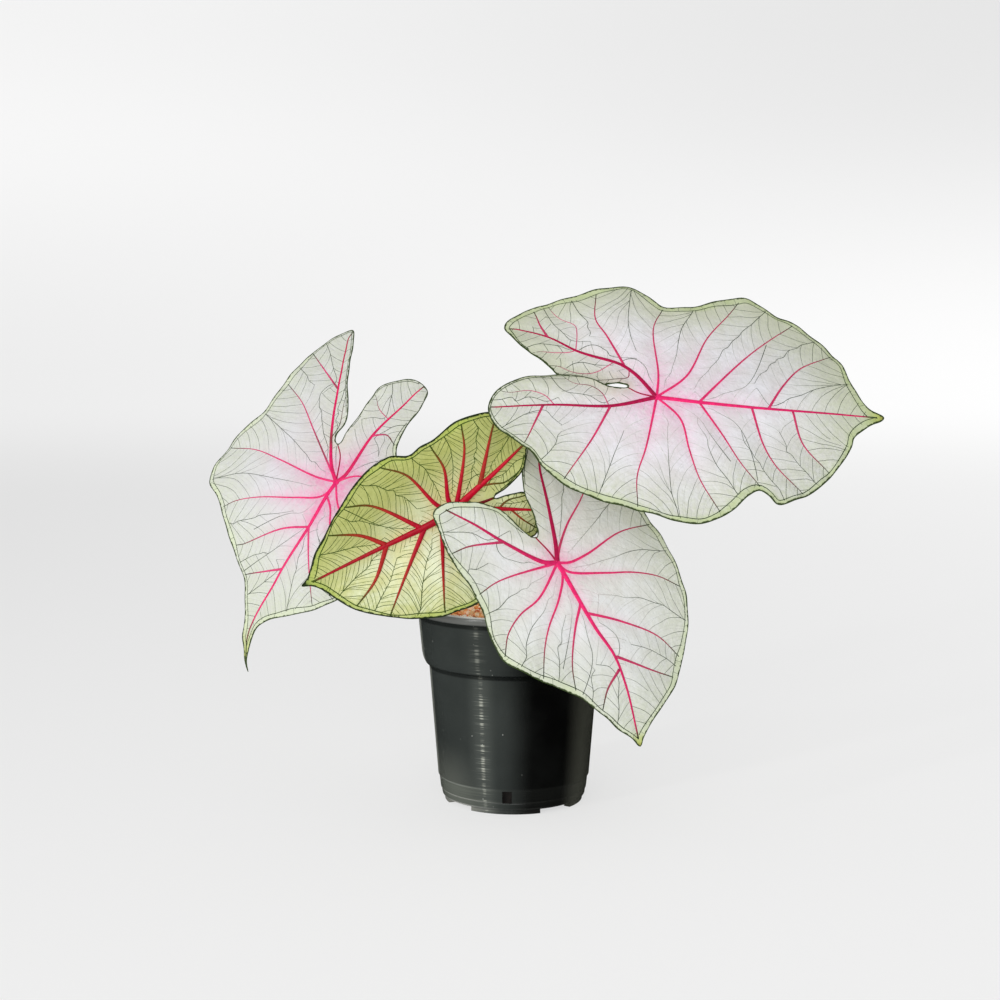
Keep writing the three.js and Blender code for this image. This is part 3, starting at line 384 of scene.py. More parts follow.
class Leaf:
    """The curved surface of one leaf, with its margin, its veins and maps of both."""

    def __init__(self, name, facts, seed):
        self.name = name
        self.facts = facts
        self.random = np.random.default_rng(seed)
        self.origin = np.array(facts["junction"], float)
        self.normal = unit(facts["normal"])
        self.across = unit(np.cross(self.normal, facts["tipward"]))
        self.along = unit(np.cross(self.across, self.normal))
        self.margin = even(smooth_path(facts["outline"], True), MARGIN_STEP, True)
        self.length = np.linalg.norm(facts["outline"][0])
        self.make_rim()
        self.veins = []
        for order, key in enumerate(VEIN_KINDS):
            for points in facts[key]:
                path = even(smooth_path(points), 1.0)
                self.veins.append((order, path if order == SINUS else self.run_out(path)))
        self.make_bulge()

    def make_rim(self):
        """A map at one millimetre of the distance to the margin, below 0 outside it."""
        self.low = np.floor(self.margin.min(0)) - CHART_EDGE
        self.size = (np.ceil(self.margin.max(0)) + CHART_EDGE + 1 - self.low).astype(int)
        grid = np.stack(np.meshgrid(*map(np.arange, self.size), indexing="ij"), -1)
        self.grid = grid.reshape(-1, 2) + self.low
        rim, self.rim_at = nearest(self.grid, even(self.margin, RIM_STEP, True))
        rim = np.where(is_inside(self.grid, self.margin), rim, -rim)
        self.rim = rim.reshape(self.size)

    def make_bulge(self):
        """Maps of the distance to the veins, the nearest vein, and the low relief."""
        samples = np.concatenate([path for _, path in self.veins])
        self.sample_owner = np.concatenate(
            [np.full(len(path), k) for k, (_, path) in enumerate(self.veins)])
        self.sample_tangent = np.concatenate([tangents(path) for _, path in self.veins])
        away, which = nearest(self.grid, samples)
        self.vein_distance = away.reshape(self.size)
        self.vein_sample = which.reshape(self.size)
        bulge = PUCKER * (1 - np.exp(-(away / PUCKER_REACH) ** 2)) - PUCKER * PUCKER_MEAN
        turn = self.rim_at * RIM_STEP / RUFFLE_LENGTH * 2 * math.pi
        # two waves that don't keep in step
        uneven = np.sin(turn) + 0.6 * np.sin(turn * 0.43 + 2)
        bulge += RUFFLE * uneven * np.exp(-np.maximum(self.rim.ravel(), 0) / RUFFLE_DEPTH)
        bulge = bulge.reshape(self.size)
        for _ in range(3):
            bulge = (bulge + np.roll(bulge, 1, 0) + np.roll(bulge, -1, 0)
                     + np.roll(bulge, 1, 1) + np.roll(bulge, -1, 1)) / 5
        self.bulge = bulge

    def band_width(self, points):
        """How wide the green margin is near a point: narrow beside the junction."""
        out = smoothstep(0.15, 0.36, np.linalg.norm(points, axis=1) / self.length)
        turn = np.arctan2(points[:, 1], points[:, 0])
        uneven = 0.92 + 0.22 * np.sin(6 * turn + self.length) + 0.14 * np.sin(13 * turn)
        uneven *= 1 - 0.55 * smoothstep(2.5, 2.85, np.abs(turn))
        return BAND_START + (self.facts["band"] * uneven - BAND_START) * out

    def outward(self, points):
        """The way to the nearest margin."""
        du, dv = np.array([1.5, 0]), np.array([0, 1.5])
        slope = np.stack([self.read(self.rim, points - du) - self.read(self.rim, points + du),
                          self.read(self.rim, points - dv) - self.read(self.rim, points + dv)],
                         1)
        return slope / (np.linalg.norm(slope, axis=1)[:, None] + 1e-9)

    def run_out(self, path, clear=0.0, turn=0.1, most=45):
        """Carries a path on until it meets the vein that follows the margin."""
        spot, heading, added = path[-1], unit(path[-1] - path[-3]), []
        while len(added) < most:
            here = spot[None]
            if self.read(self.rim, here)[0] < self.band_width(here)[0]:
                break
            if clear and self.read(self.vein_distance, here)[0] < clear:
                break
            heading = unit(heading + turn * self.outward(here)[0])
            spot = spot + heading
            added.append(spot)
        return np.concatenate([path, added]) if added else path

    def read(self, chart, points):
        """A map's value between its points."""
        x = np.clip(points - self.low, 0, self.size - 1.001)
        i = x.astype(int)
        f = x - i
        a, b = i[:, 0], i[:, 1]
        return (chart[a, b] * (1 - f[:, 0]) * (1 - f[:, 1])
                + chart[a + 1, b] * f[:, 0] * (1 - f[:, 1])
                + chart[a, b + 1] * (1 - f[:, 0]) * f[:, 1]
                + chart[a + 1, b + 1] * f[:, 0] * f[:, 1])

    def sample_at(self, points):
        """The sample of a vein that is nearest to each point."""
        x = np.clip(np.rint(points - self.low).astype(int), 0, self.size - 1)
        return self.vein_sample[x[:, 0], x[:, 1]]

    def height(self, points):
        """How far the lamina stands off its flat frame."""
        shape = self.facts["shape"]
        wave, count, start = self.facts["wave"]
        u, v = points[:, 0], points[:, 1]
        tip, lobe, side = np.maximum(u, 0) / SPAN, np.maximum(-u, 0) / SPAN, v / SPAN
        eased_tip, eased_lobe = tip ** 2 / (tip + EASE), lobe ** 2 / (lobe + EASE)
        far = (u * u + v * v) / SPAN ** 2
        ripple = wave * far * np.sin(count * np.arctan2(v, u) + start)
        return (-shape["droop"] * tip ** 2 - shape["lobes"] * lobe ** 2
                - shape["cup"] * side ** 2 + shape["lobe_twist"] * eased_lobe * side
                + shape["tip_twist"] * eased_tip * side
                - shape["fold"] * (np.sqrt(side ** 2 + 0.01) - 0.1)
                - shape["lap"] * eased_lobe * np.tanh((v - shape["lap_at"]) / 9)
                + ripple + self.read(self.bulge, points))

    def lapped(self, points):
        """1 where a back lobe is drawn fully under the other one, else less, down to 0."""
        if "seam" not in self.facts:
            return np.zeros(len(points))
        seam_u, seam_v = np.array(self.facts["seam"]).T
        u, v = points[:, 0], points[:, 1]
        past = v - np.interp(u, seam_u, seam_v)
        near_seam = np.where(past > 0, np.exp(-(past / LAP_FADE) ** 2), 0)
        return near_seam * smoothstep(*LAP_BEGINS, -u) * (1 - smoothstep(*LAP_ENDS, -u))

    def middle(self, points):
        """Points on the middle of the lamina, in the frame of the pot."""
        lapped = self.lapped(points)
        across = points[:, 1] - LAP_ACROSS * lapped
        rise = self.height(points) - LAP_BEHIND * lapped
        return (self.origin + points[:, :1] * self.along + across[:, None] * self.across
                + rise[:, None] * self.normal)

    def place(self, points, offset=0.0):
        """Points lifted off the middle of the lamina by offset."""
        points = np.asarray(points, float)
        step = 0.6
        du, dv = np.array([step, 0]), np.array([0, step])
        out = np.cross(self.middle(points + du) - self.middle(points - du),
                       self.middle(points + dv) - self.middle(points - dv))
        out /= np.linalg.norm(out, axis=1)[:, None]
        return self.middle(points) + out * np.reshape(offset, (-1, 1))

    def reach(self, points):
        """0 at the junction, 1 at the margin."""
        away = np.linalg.norm(points, axis=1)
        return away / (away + np.maximum(self.read(self.rim, points), 0) + 1e-6)


# ---------- meshes ----------


def make_piece(name, points, faces, attributes=None, materials=(), face_materials=None):
    """An object at the origin from points in millimetres."""
    mesh = bpy.data.meshes.new(name)
    mesh.from_pydata((np.asarray(points) * MM).tolist(), [], faces)
    for key, values in (attributes or {}).items():
        kind, field = ("FLOAT_COLOR", "color") if values.shape[1] == 4 else (
            "FLOAT_VECTOR", "vector")
        made = mesh.attributes.new(key, kind, "POINT")
        made.data.foreach_set(field, np.asarray(values, np.float32).ravel())
    for finish in materials:
        mesh.materials.append(finish)
    if face_materials is not None:
        mesh.polygons.foreach_set("material_index", face_materials)
    mesh.polygons.foreach_set("use_smooth", [True] * len(mesh.polygons))
    mesh.update()
    piece = bpy.data.objects.new(name, mesh)
    bpy.context.scene.collection.objects.link(piece)
    return piece


def select_only(piece):
    bpy.ops.object.select_all(action="DESELECT")
    piece.select_set(True)
    bpy.context.view_layer.objects.active = piece


def soften(piece, degrees):
    """Smooth shading that keeps edges sharper than the angle."""
    select_only(piece)
    bpy.ops.object.shade_smooth_by_angle(angle=math.radians(degrees))
    piece.select_set(False)


def finish_piece(piece, node):
    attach(piece, "root")
    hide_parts(node)


def leaf_fields(leaf, points):
    """What the lamina's finish reads: pink glow, distance to the margin and reach, then
    how far to one side, distance to the tip and the strength of the margin band."""
    reach = leaf.reach(points)
    away = leaf.read(leaf.vein_distance, points)
    order = np.array([leaf.veins[k][0] for k in leaf.sample_owner[leaf.sample_at(points)]])
    strength, spread, centre = leaf.facts["glow"]
    # the main veins glow further and more strongly, and all of them less towards the margin
    width = np.where(order == MAIN, 3.6, 2.2) * spread * (1.25 - 0.75 * reach)
    fade = np.where(order == MAIN, 1.0, 0.75) * (1 - smoothstep(0.25, 0.85, reach))
    out = np.linalg.norm(points, axis=1)
    glow = np.exp(-away / width) * fade + 0.8 * np.exp(-(out / centre) ** 1.3)
    rim = np.maximum(leaf.read(leaf.rim, points), 0)
    width = leaf.band_width(points)
    band = (1 - smoothstep(0.7, 1.5, rim / width)) * smoothstep(0.8, 3, width)
    tip = np.linalg.norm(points - leaf.facts["outline"][0], axis=1) * leaf.facts["tip_scale"]
    return (np.stack([np.clip(strength * glow, 0, 1), rim, reach], 1),
            np.stack([smoothstep(-42, 38, points[:, 1]), tip, band], 1))


MARGIN_ROWS = ((0.42, 1), (0.85, 1), (1.5, 2))    # depth, and one point in so many


def inward_from(leaf, margin):
    """The way into the leaf from each point of its margin."""
    inward = left_of(tangents(np.concatenate([margin[-1:], margin, margin[:1]]))[1:-1])
    return -inward if leaf.read(leaf.rim, margin + inward * 0.5).mean() < 0 else inward


def lamina_points(leaf):
    """The margin, rows that follow it closely, and a scattered lattice inside them."""
    margin = leaf.margin
    inward = inward_from(leaf, margin)
    rows = []
    for depth, skip in MARGIN_ROWS:
        ring = margin[::skip] + inward[::skip] * depth
        rows.append(ring[leaf.read(leaf.rim, ring) > depth * 0.75])
    low, high = margin.min(0), margin.max(0)
    lattice = []
    for row, v in enumerate(np.arange(low[1], high[1], LAMINA_STEP * math.sqrt(0.75))):
        u = np.arange(low[0] + (row % 2) * LAMINA_STEP / 2, high[0], LAMINA_STEP)
        lattice.append(np.stack([u, np.full(len(u), v)], 1))
    lattice = np.concatenate(lattice)
    lattice += leaf.random.uniform(-LAMINA_SCATTER, LAMINA_SCATTER, lattice.shape)
    lattice = lattice[leaf.read(leaf.rim, lattice) > LAMINA_CLEAR]
    return np.concatenate([margin, *rows, lattice])


def triangles_between(flat, margin_count):
    """Joins the points inside the margin with triangles that face up, and gives the
    points, the triangles and the edges that only one triangle has."""
    found = delaunay_2d_cdt([Vector(p) for p in flat.tolist()], [],
                            [list(range(margin_count))], 1, 1e-5)
    flat = np.array([tuple(p) for p in found[0]])
    faces = [tuple(face) for face in found[2]]
    a, b, c = (flat[[face[k] for face in faces]] for k in range(3))
    turned = ((b - a)[:, 0] * (c - a)[:, 1] - (b - a)[:, 1] * (c - a)[:, 0]) < 0
    faces = [tuple(reversed(f)) if t else f for f, t in zip(faces, turned)]
    edges = {}
    for face in faces:
        for i, j in zip(face, face[1:] + face[:1]):
            if (j, i) in edges:
                del edges[j, i]
            else:
                edges[i, j] = True
    return flat, faces, list(edges)


def make_lamina(leaf, upper_finish, under_finish):
    """The thin blade: one sheet over the other, closed along the margin."""
    flat, faces, edges = triangles_between(lamina_points(leaf), len(leaf.margin))
    under = len(flat)
    half = LAMINA_THICKNESS / 2
    points = np.concatenate([leaf.place(flat, half), leaf.place(flat, -half)])
    fields, place = leaf_fields(leaf, flat)
    all_faces = faces + [tuple(under + i for i in reversed(f)) for f in faces]
    walls = [(j, i, under + i, under + j) for i, j in edges]
    kinds = [0] * len(faces) + [1] * len(faces) + [1] * len(walls)
    piece = make_piece(
        f"leaf_{leaf.name}_lamina", points, all_faces + walls,
        {"leaf_fields": np.concatenate([fields, fields]),
         "leaf_place": np.concatenate([place, place])},
        (upper_finish, under_finish), kinds)
    soften(piece, 50)
    finish_piece(piece, f"leaf_{leaf.name}_blade")


# ---------- the net of fine veins ----------


class Arc:
    """A cross vein, and the pair of veins that it lies between."""

    def __init__(self, path, between, strong):
        self.path = path
        self.between = between
        self.strong = strong

    def draw_to(self, target):
        """Bends the last stretch so that it ends at the target."""
        share = np.linspace(0, 1, min(5, len(self.path)))[:, None]
        self.path[-len(share):] += share * (target - self.path[-1])


def cross_veins(leaf):
    """Fine veins that leave each vein on both sides and bend outwards, until they
    meet those of the next vein or the vein along the margin."""
    random = leaf.random
    start, owner, side, strong = [], [], [], []
    for k, (order, path) in enumerate(leaf.veins):
        if order == SINUS:
            continue
        for hand in (-1, 1):
            first = ARC_FIRST + random.uniform(0, ARC_PITCH)
            for count, at in enumerate(np.arange(first, len(path) - ARC_LAST, ARC_PITCH)):
                at = at + random.uniform(-0.5, 0.5)
                start.append(path[int(round(at))])
                owner.append(k)
                side.append(hand)
                strong.append((count + 2 * (hand > 0)) % STRONG_EVERY == 0)
    spot, owner, side = np.array(start), np.array(owner), np.array(side)
    lean = ARC_ANGLE * random.uniform(0.92, 1.08, len(spot))
    alive = np.ones(len(spot), bool)
    meets = np.full(len(spot), -1)
    trail = [spot.copy()]
    length = np.ones(len(spot), int)
    drift = np.zeros(len(spot))
    for _ in range(ARC_STEPS):
        out = leaf.sample_tangent[leaf.sample_at(spot)]
        away = leaf.read(leaf.vein_distance, spot)
        drift = 0.7 * drift + random.normal(0, 0.05, len(spot))
        angle = lean - ARC_BEND * away + drift
        heading = (np.cos(angle)[:, None] * out
                   + (np.sin(angle) * side)[:, None] * left_of(out))
        spot = np.where(alive[:, None], spot + heading * ARC_STEP, spot)
        now = leaf.sample_owner[leaf.sample_at(spot)]
        crossed = alive & (now != owner) & (length > 1)
        meets[crossed] = now[crossed]
        at_rim = leaf.read(leaf.rim, spot) < leaf.band_width(spot)
        length[alive] += 1
        trail.append(spot.copy())
        alive &= ~crossed & ~at_rim
        if not alive.any():
            break
    trail = np.stack(trail, 1)
    return [Arc(trail[i, :length[i]], frozenset((owner[i], meets[i])), strong[i])
            for i in range(len(spot)) if length[i] >= 3]


ZIGZAG_GAP = (3.0, 20.0)     # between the corners of a zigzag vein
ZIGZAG_TURN = 0.3            # cosine of its sharpest corner
ZIGZAG_REACH = 5.0           # how far off it may catch the end of a cross vein


def between_veins(leaf, arcs):
    """The zigzag veins between two neighbouring veins, through the places where their
    stronger cross veins meet, out to the vein along the margin."""
    pairs = {}
    for arc in arcs:
        if arc.strong and -1 not in arc.between:
            pairs.setdefault(arc.between, []).append(arc)
    found = []
    for members in pairs.values():
        spots = sorted((arc.path[-1] for arc in members), key=np.linalg.norm)
        kept, heading = [spots[0]], unit(spots[0])
        for spot in spots[1:]:
            step = spot - kept[-1]
            gap = np.linalg.norm(step)
            if ZIGZAG_GAP[0] < gap < ZIGZAG_GAP[1] and heading @ step > ZIGZAG_TURN * gap:
                kept.append(spot)
                heading = unit(heading + step / gap)
        if len(kept) < 3:
            continue
        path = leaf.run_out(even(smooth_path(kept, pieces=6), 1.6), 1.3, 0.12)
        for arc in members:
            away = np.linalg.norm(path - arc.path[-1], axis=1)
            if away.min() < ZIGZAG_REACH:
                arc.draw_to(path[away.argmin()])
        found.append(path)
    return found


RUN_STEP = 2.0               # between the points of the vein along the margin
RUN_LEAST = 1.4              # it ends where it would lie nearer the margin than this
RUN_GAP = 7.0                # and a new run starts where two points are further apart
RUNG_EVERY = 4               # at every so many of its points there may be a rung
RUNG_SHARE = 0.6


def margin_vein(leaf):
    """The vein that runs along inside the margin, as open runs, and short rungs."""
    margin = even(leaf.margin, RUN_STEP, True)
    inward = inward_from(leaf, margin)
    along = np.arange(len(margin)) * RUN_STEP
    depth = leaf.band_width(margin) * (1 + 0.1 * np.sin(along / 9)
                                       + 0.08 * np.sin(along / 4.3))
    spots = margin + inward * depth[:, None]
    good = (leaf.read(leaf.rim, spots) > depth * 0.82) & (depth > RUN_LEAST)
    runs, run = [], []
    for spot, keep in zip(np.concatenate([spots, spots[:1]]), list(good) + [good[0]]):
        if keep and (not run or np.linalg.norm(spot - run[-1]) < RUN_GAP):
            run.append(spot)
        elif keep:
            runs.append(run)
            run = [spot]
    runs.append(run)
    rungs = []
    for i in range(0, len(margin), RUNG_EVERY):
        if good[i] and leaf.random.uniform() < RUNG_SHARE:
            lean = leaf.random.uniform(-1, 1) * (margin[(i + 1) % len(margin)] - margin[i])
            rungs.append(np.array([spots[i], (spots[i] + margin[i]) / 2 + lean * 0.4,
                                   margin[i] + inward[i] * 0.3 + lean * 0.8]))
    return [np.array(run) for run in runs if len(run) > 3], rungs


# Sections of a strip: across in half widths and up in heights, with the feet sunk in
ROUND = np.array([(-1, -0.15), (-0.72, 0.62), (0, 1), (0.72, 0.62), (1, -0.15)])
RIDGE = np.array([(-1, -0.15), (0, 1), (1, -0.15)])
FOOT_DEPTH = 0.4
DOME_SINK = 0.1


class Strips:
    """Gathers strips that lie on one face of a leaf into one mesh."""

    def __init__(self, leaf, face):
        self.leaf = leaf
        self.face = face
        self.flat, self.lifts, self.faces, self.tints, self.count = [], [], [], [], 0

    def lay(self, path, widths, heights, tints, section=RIDGE):
        """A strip along the path, closed at both ends."""
        path = np.asarray(path, float)
        side = left_of(tangents(path)) * (np.reshape(widths, (-1, 1)) / 2)
        heights = np.broadcast_to(heights, len(path))
        ring = len(section)
        flat = [path + side * across * self.face for across, _ in section]
        lifts = [np.where(rise > 0, rise * heights, rise * FOOT_DEPTH) for _, rise in section]
        self.flat.append(np.stack(flat, 1).reshape(-1, 2))
        self.lifts.append(np.stack(lifts, 1).ravel())
        self.tints.append(np.repeat(np.asarray(tints), ring, 0))
        start = self.count
        for i in range(len(path) - 1):
            a, b = start + i * ring, start + (i + 1) * ring
            for k in range(ring):
                n = (k + 1) % ring
                self.faces.append((a + k, b + k, b + n, a + n))
        self.count += len(path) * ring
        self.faces.append(tuple(range(start, start + ring)))
        self.faces.append(tuple(reversed(range(self.count - ring, self.count))))

    def swell(self, radius, rise, tint, sides=18, rings=5):
        """The low dome where all the veins meet."""
        turn = np.arange(sides) / sides * 2 * math.pi * self.face
        circle = np.stack([np.cos(turn), np.sin(turn)], 1) * radius
        start = self.count
        for r in range(rings):
            angle = r / rings * math.pi / 2
            self.flat.append(circle * math.cos(angle))
            self.lifts.append(np.full(sides, rise * math.sin(angle) - DOME_SINK))
        self.flat.append(np.zeros((1, 2)))
        self.lifts.append(np.array([rise - DOME_SINK]))
        for r in range(rings):
            for k in range(sides):
                a, b = start + r * sides + k, start + r * sides + (k + 1) % sides
                self.faces.append((a, b, b + sides, a + sides) if r < rings - 1
                                  else (a, b, start + rings * sides))
        self.faces.append(tuple(reversed(range(start, start + sides))))
        self.tints.append(np.tile(tint, (rings * sides + 1, 1)))
        self.count += rings * sides + 1

    def piece(self, name, finish):
        lifts = self.face * (LAMINA_THICKNESS / 2 + np.concatenate(self.lifts))
        points = self.leaf.place(np.concatenate(self.flat), lifts)
        return make_piece(name, points, self.faces,
                          {"tint": np.concatenate(self.tints)}, (finish,))


# ---------- colours ----------


def colour(code):
    """A hex sRGB colour as linear red, green, blue and alpha."""
    parts = [int(code[i:i + 2], 16) / 255 for i in (1, 3, 5)]
    return tuple(c / 12.92 if c <= 0.04045 else ((c + 0.055) / 1.055) ** 2.4
                 for c in parts) + (1.0,)


def blend(first, second, amount):
    first, second = np.array(first), np.array(second)
    amount = np.reshape(amount, (-1, 1))
    return first * (1 - amount) + second * amount


# Vein colours on the upper face, and under the leaf
UPPER = {
    "main": "#ec2870", "main_far": "#cc2660", "side": "#e22f6e", "side_far": "#bd3860",
    "lobe": "#aa1246", "thin": "#c95a7c", "sinus": "#a3123f", "green": "#35452e",
    "net_near": "#dfbecb", "net_faint": "#cfd0ca", "net_dark": "#35452e",
}
PINK_UPPER = {**UPPER, "main": "#e6226c", "main_far": "#dc3570", "side": "#e43674",
              "side_far": "#cf4474", "lobe": "#d8205f", "net_faint": "#cbc4c8"}
UNDER = {
    "main": "#ae0022", "main_far": "#a01220", "side": "#b20428", "side_far": "#a42a1e",
    "lobe": "#bd0026", "thin": "#b0402a", "sinus": "#6d0a16", "green": "#3c4f10",
    "net_near": "#a8924a", "net_faint": "#8f9a48", "net_dark": "#395012",
}


# how far inside the band main, side, thin and sinus veins start to turn green
TURNS_GREEN = (5.0, 20.0, 14.0, 0.1)
LOBE_TURN = (2.1, 2.6)       # a main vein that leaves the midrib by this angle is a lobe's

# widths at the start and the end, and height, of main, side, thin and sinus veins
UPPER_SIZES = ((3.2, 1.1, 0.5), (1.9, 0.65, 0.3), (0.9, 0.45, 0.15), (1.4, 1.0, 0.3))
UNDER_SIZES = ((3.6, 1.1, 1.4), (2.2, 0.7, 0.9), (1.0, 0.5, 0.4), (1.8, 1.0, 0.8))
BACK_SIZES = ((4.8, 1.2, 1.6), (3.1, 0.8, 1.0), (1.4, 0.7, 0.5), (3.4, 1.4, 0.9))
VEIN_STEP = 2.2              # between the points of a laid vein
# width, rise and darkness of the fine and strong cross veins, the zigzag, the vein
# along the margin and its rungs, and how much further out than the rest each turns dark
NET = {"fine": (0.25, 0.06, 0.28, 0.0), "strong": (0.46, 0.1, 1.0, 0.0),
       "zigzag": (0.58, 0.12, 1.1, -0.25), "margin": (0.72, 0.14, 1.4, -0.3),
       "rung": (0.36, 0.08, 0.9, -0.3)}
UNDER_NET = {**NET, "fine": (0.34, 0.08, 0.7, 0.0)}


def vein_tints(leaf, path, order, tones):
    """Pink or red at the junction, paler and duller outwards, and green at the margin."""
    name = ("main", "side", "thin", "sinus")[order]
    if order in (THIN, SINUS):
        tint = np.tile(colour(tones[name]), (len(path), 1))
    else:
        tint = blend(colour(tones[name]), colour(tones[name + "_far"]),
                     smoothstep(0.25, 0.8, leaf.reach(path)))
    if order == MAIN:
        # the veins of the back lobes are the darkest
        turn = abs(math.atan2(path[-1, 1], path[-1, 0]))
        tint = blend(tint, colour(tones["lobe"]), smoothstep(*LOBE_TURN, turn))
    past = leaf.read(leaf.rim, path) - leaf.band_width(path)
    turns_green = (TURNS_GREEN[order] * leaf.facts["veining"][2]
                   * leaf.random.uniform(0.6, 1.3))
    return blend(tint, colour(tones["green"]), 1 - smoothstep(0, turns_green, past))


def net_tints(leaf, path, tones, strength, begins):
    """Nearly the colour of the lamina near the junction, and dark green further out."""
    reach = leaf.reach(path)
    faint = blend(colour(tones["net_near"]), colour(tones["net_faint"]),
                  smoothstep(0.2, 0.5, reach))
    begins += leaf.facts["veining"][3]
    amount = strength * (0.05 + 0.95 * smoothstep(begins, begins + 0.5, reach))
    return blend(faint, colour(tones["net_dark"]), np.clip(amount, 0, 1))


def lay_veins(leaf, face, tones, sizes, net):
    """All the veins on one face."""
    strips = Strips(leaf, face)
    slender, net_width = leaf.facts["veining"][:2]
    for order, path in leaf.veins:
        path = even(path, VEIN_STEP)
        start, end, rise = np.array(sizes[order]) * (slender, slender, 1)
        t = np.linspace(0, 1, len(path))
        widths = end + (start - end) * (1 - t) ** 1.2
        strips.lay(path, widths, rise * (1 - 0.6 * t),
                   vein_tints(leaf, path, order, tones), ROUND)
    arcs, zigzags, runs, rungs = net
    kinds = [("strong" if arc.strong else "fine", arc.path) for arc in arcs]
    kinds += [("zigzag", path) for path in zigzags] + [("margin", path) for path in runs]
    kinds += [("rung", path) for path in rungs]
    for kind, path in kinds:
        if kind == "fine" and len(path) > 4:
            path = np.concatenate([path[:-1:2], path[-1:]])
        width, rise, darkness, begins = (NET if face > 0 else UNDER_NET)[kind]
        grow = np.linspace(0.75, 1.15, len(path)) if kind == "zigzag" else np.ones(len(path))
        strips.lay(path, grow * width * net_width, rise,
                   net_tints(leaf, path, tones, darkness, begins))
    return strips


# ---------- finishes ----------


def set_inputs(tree, node, inputs):
    """Sets the inputs of a node to values, or links them to other nodes."""
    for name, value in inputs.items():
        socket = node.inputs[name]
        if isinstance(value, bpy.types.NodeSocket):
            tree.links.new(value, socket)
        else:
            socket.default_value = value


def add_node(tree, kind, settings=None, inputs=None):
    """Adds a node with its settings, and its inputs as values or links."""
    made = tree.nodes.new(kind)
    for name, value in (settings or {}).items():
        setattr(made, name, value)
    set_inputs(tree, made, inputs or {})
    return made


def new_finish(name):
    finish = bpy.data.materials.new(name)
    finish.use_nodes = True
    tree = finish.node_tree
    tree.nodes.clear()
    shader = add_node(tree, "ShaderNodeBsdfPrincipled")
    add_node(tree, "ShaderNodeOutputMaterial", None, {"Surface": shader.outputs["BSDF"]})
    return finish, tree, shader


def mix_colours(tree, factor, first, second):
    made = add_node(tree, "ShaderNodeMix", {"data_type": "RGBA"},
                    {0: factor, 6: first, 7: second})
    return made.outputs[2]


def ramp(tree, value, low, high, to_low=0.0, to_high=1.0):
    """Runs softly from to_low to to_high while the value runs from low to high."""
    made = add_node(tree, "ShaderNodeMapRange", {"interpolation_type": "SMOOTHSTEP"},
                    {"Value": value, "From Min": low, "From Max": high,
                     "To Min": to_low, "To Max": to_high})
    return made.outputs["Result"]


def calculate(tree, operation, *values):
    return add_node(tree, "ShaderNodeMath", {"operation": operation},
                    dict(enumerate(values))).outputs[0]


def multiply(tree, first, second):
    return calculate(tree, "MULTIPLY", first, second)


def place_on(tree):
    """The place on the piece, in metres."""
    return add_node(tree, "ShaderNodeTexCoord").outputs["Object"]


def parts_of(tree, vector):
    return add_node(tree, "ShaderNodeSeparateXYZ", None, {"Vector": vector}).outputs


def noise(tree, place, scale, detail, roughness=0.5, distortion=0.0):
    return add_node(tree, "ShaderNodeTexNoise", None,
                    {"Vector": place, "Scale": scale, "Detail": detail,
                     "Roughness": roughness, "Distortion": distortion}).outputs["Fac"]


def stretched(tree, place, scale):
    return add_node(tree, "ShaderNodeMapping", None,
                    {"Vector": place, "Scale": scale}).outputs["Vector"]


def bump(tree, height, strength, distance, **over):
    return add_node(tree, "ShaderNodeBump", None,
                    {"Height": height, "Strength": strength, "Distance": distance,
                     **over}).outputs["Normal"]


def own_tint(tree, shade):
    """The colour that the points of the piece carry, lighter or darker by the shade."""
    tint = add_node(tree, "ShaderNodeAttribute", {"attribute_name": "tint"})
    return add_node(tree, "ShaderNodeVectorMath", {"operation": "SCALE"},
                    {0: tint.outputs["Color"], "Scale": shade}).outputs[0]


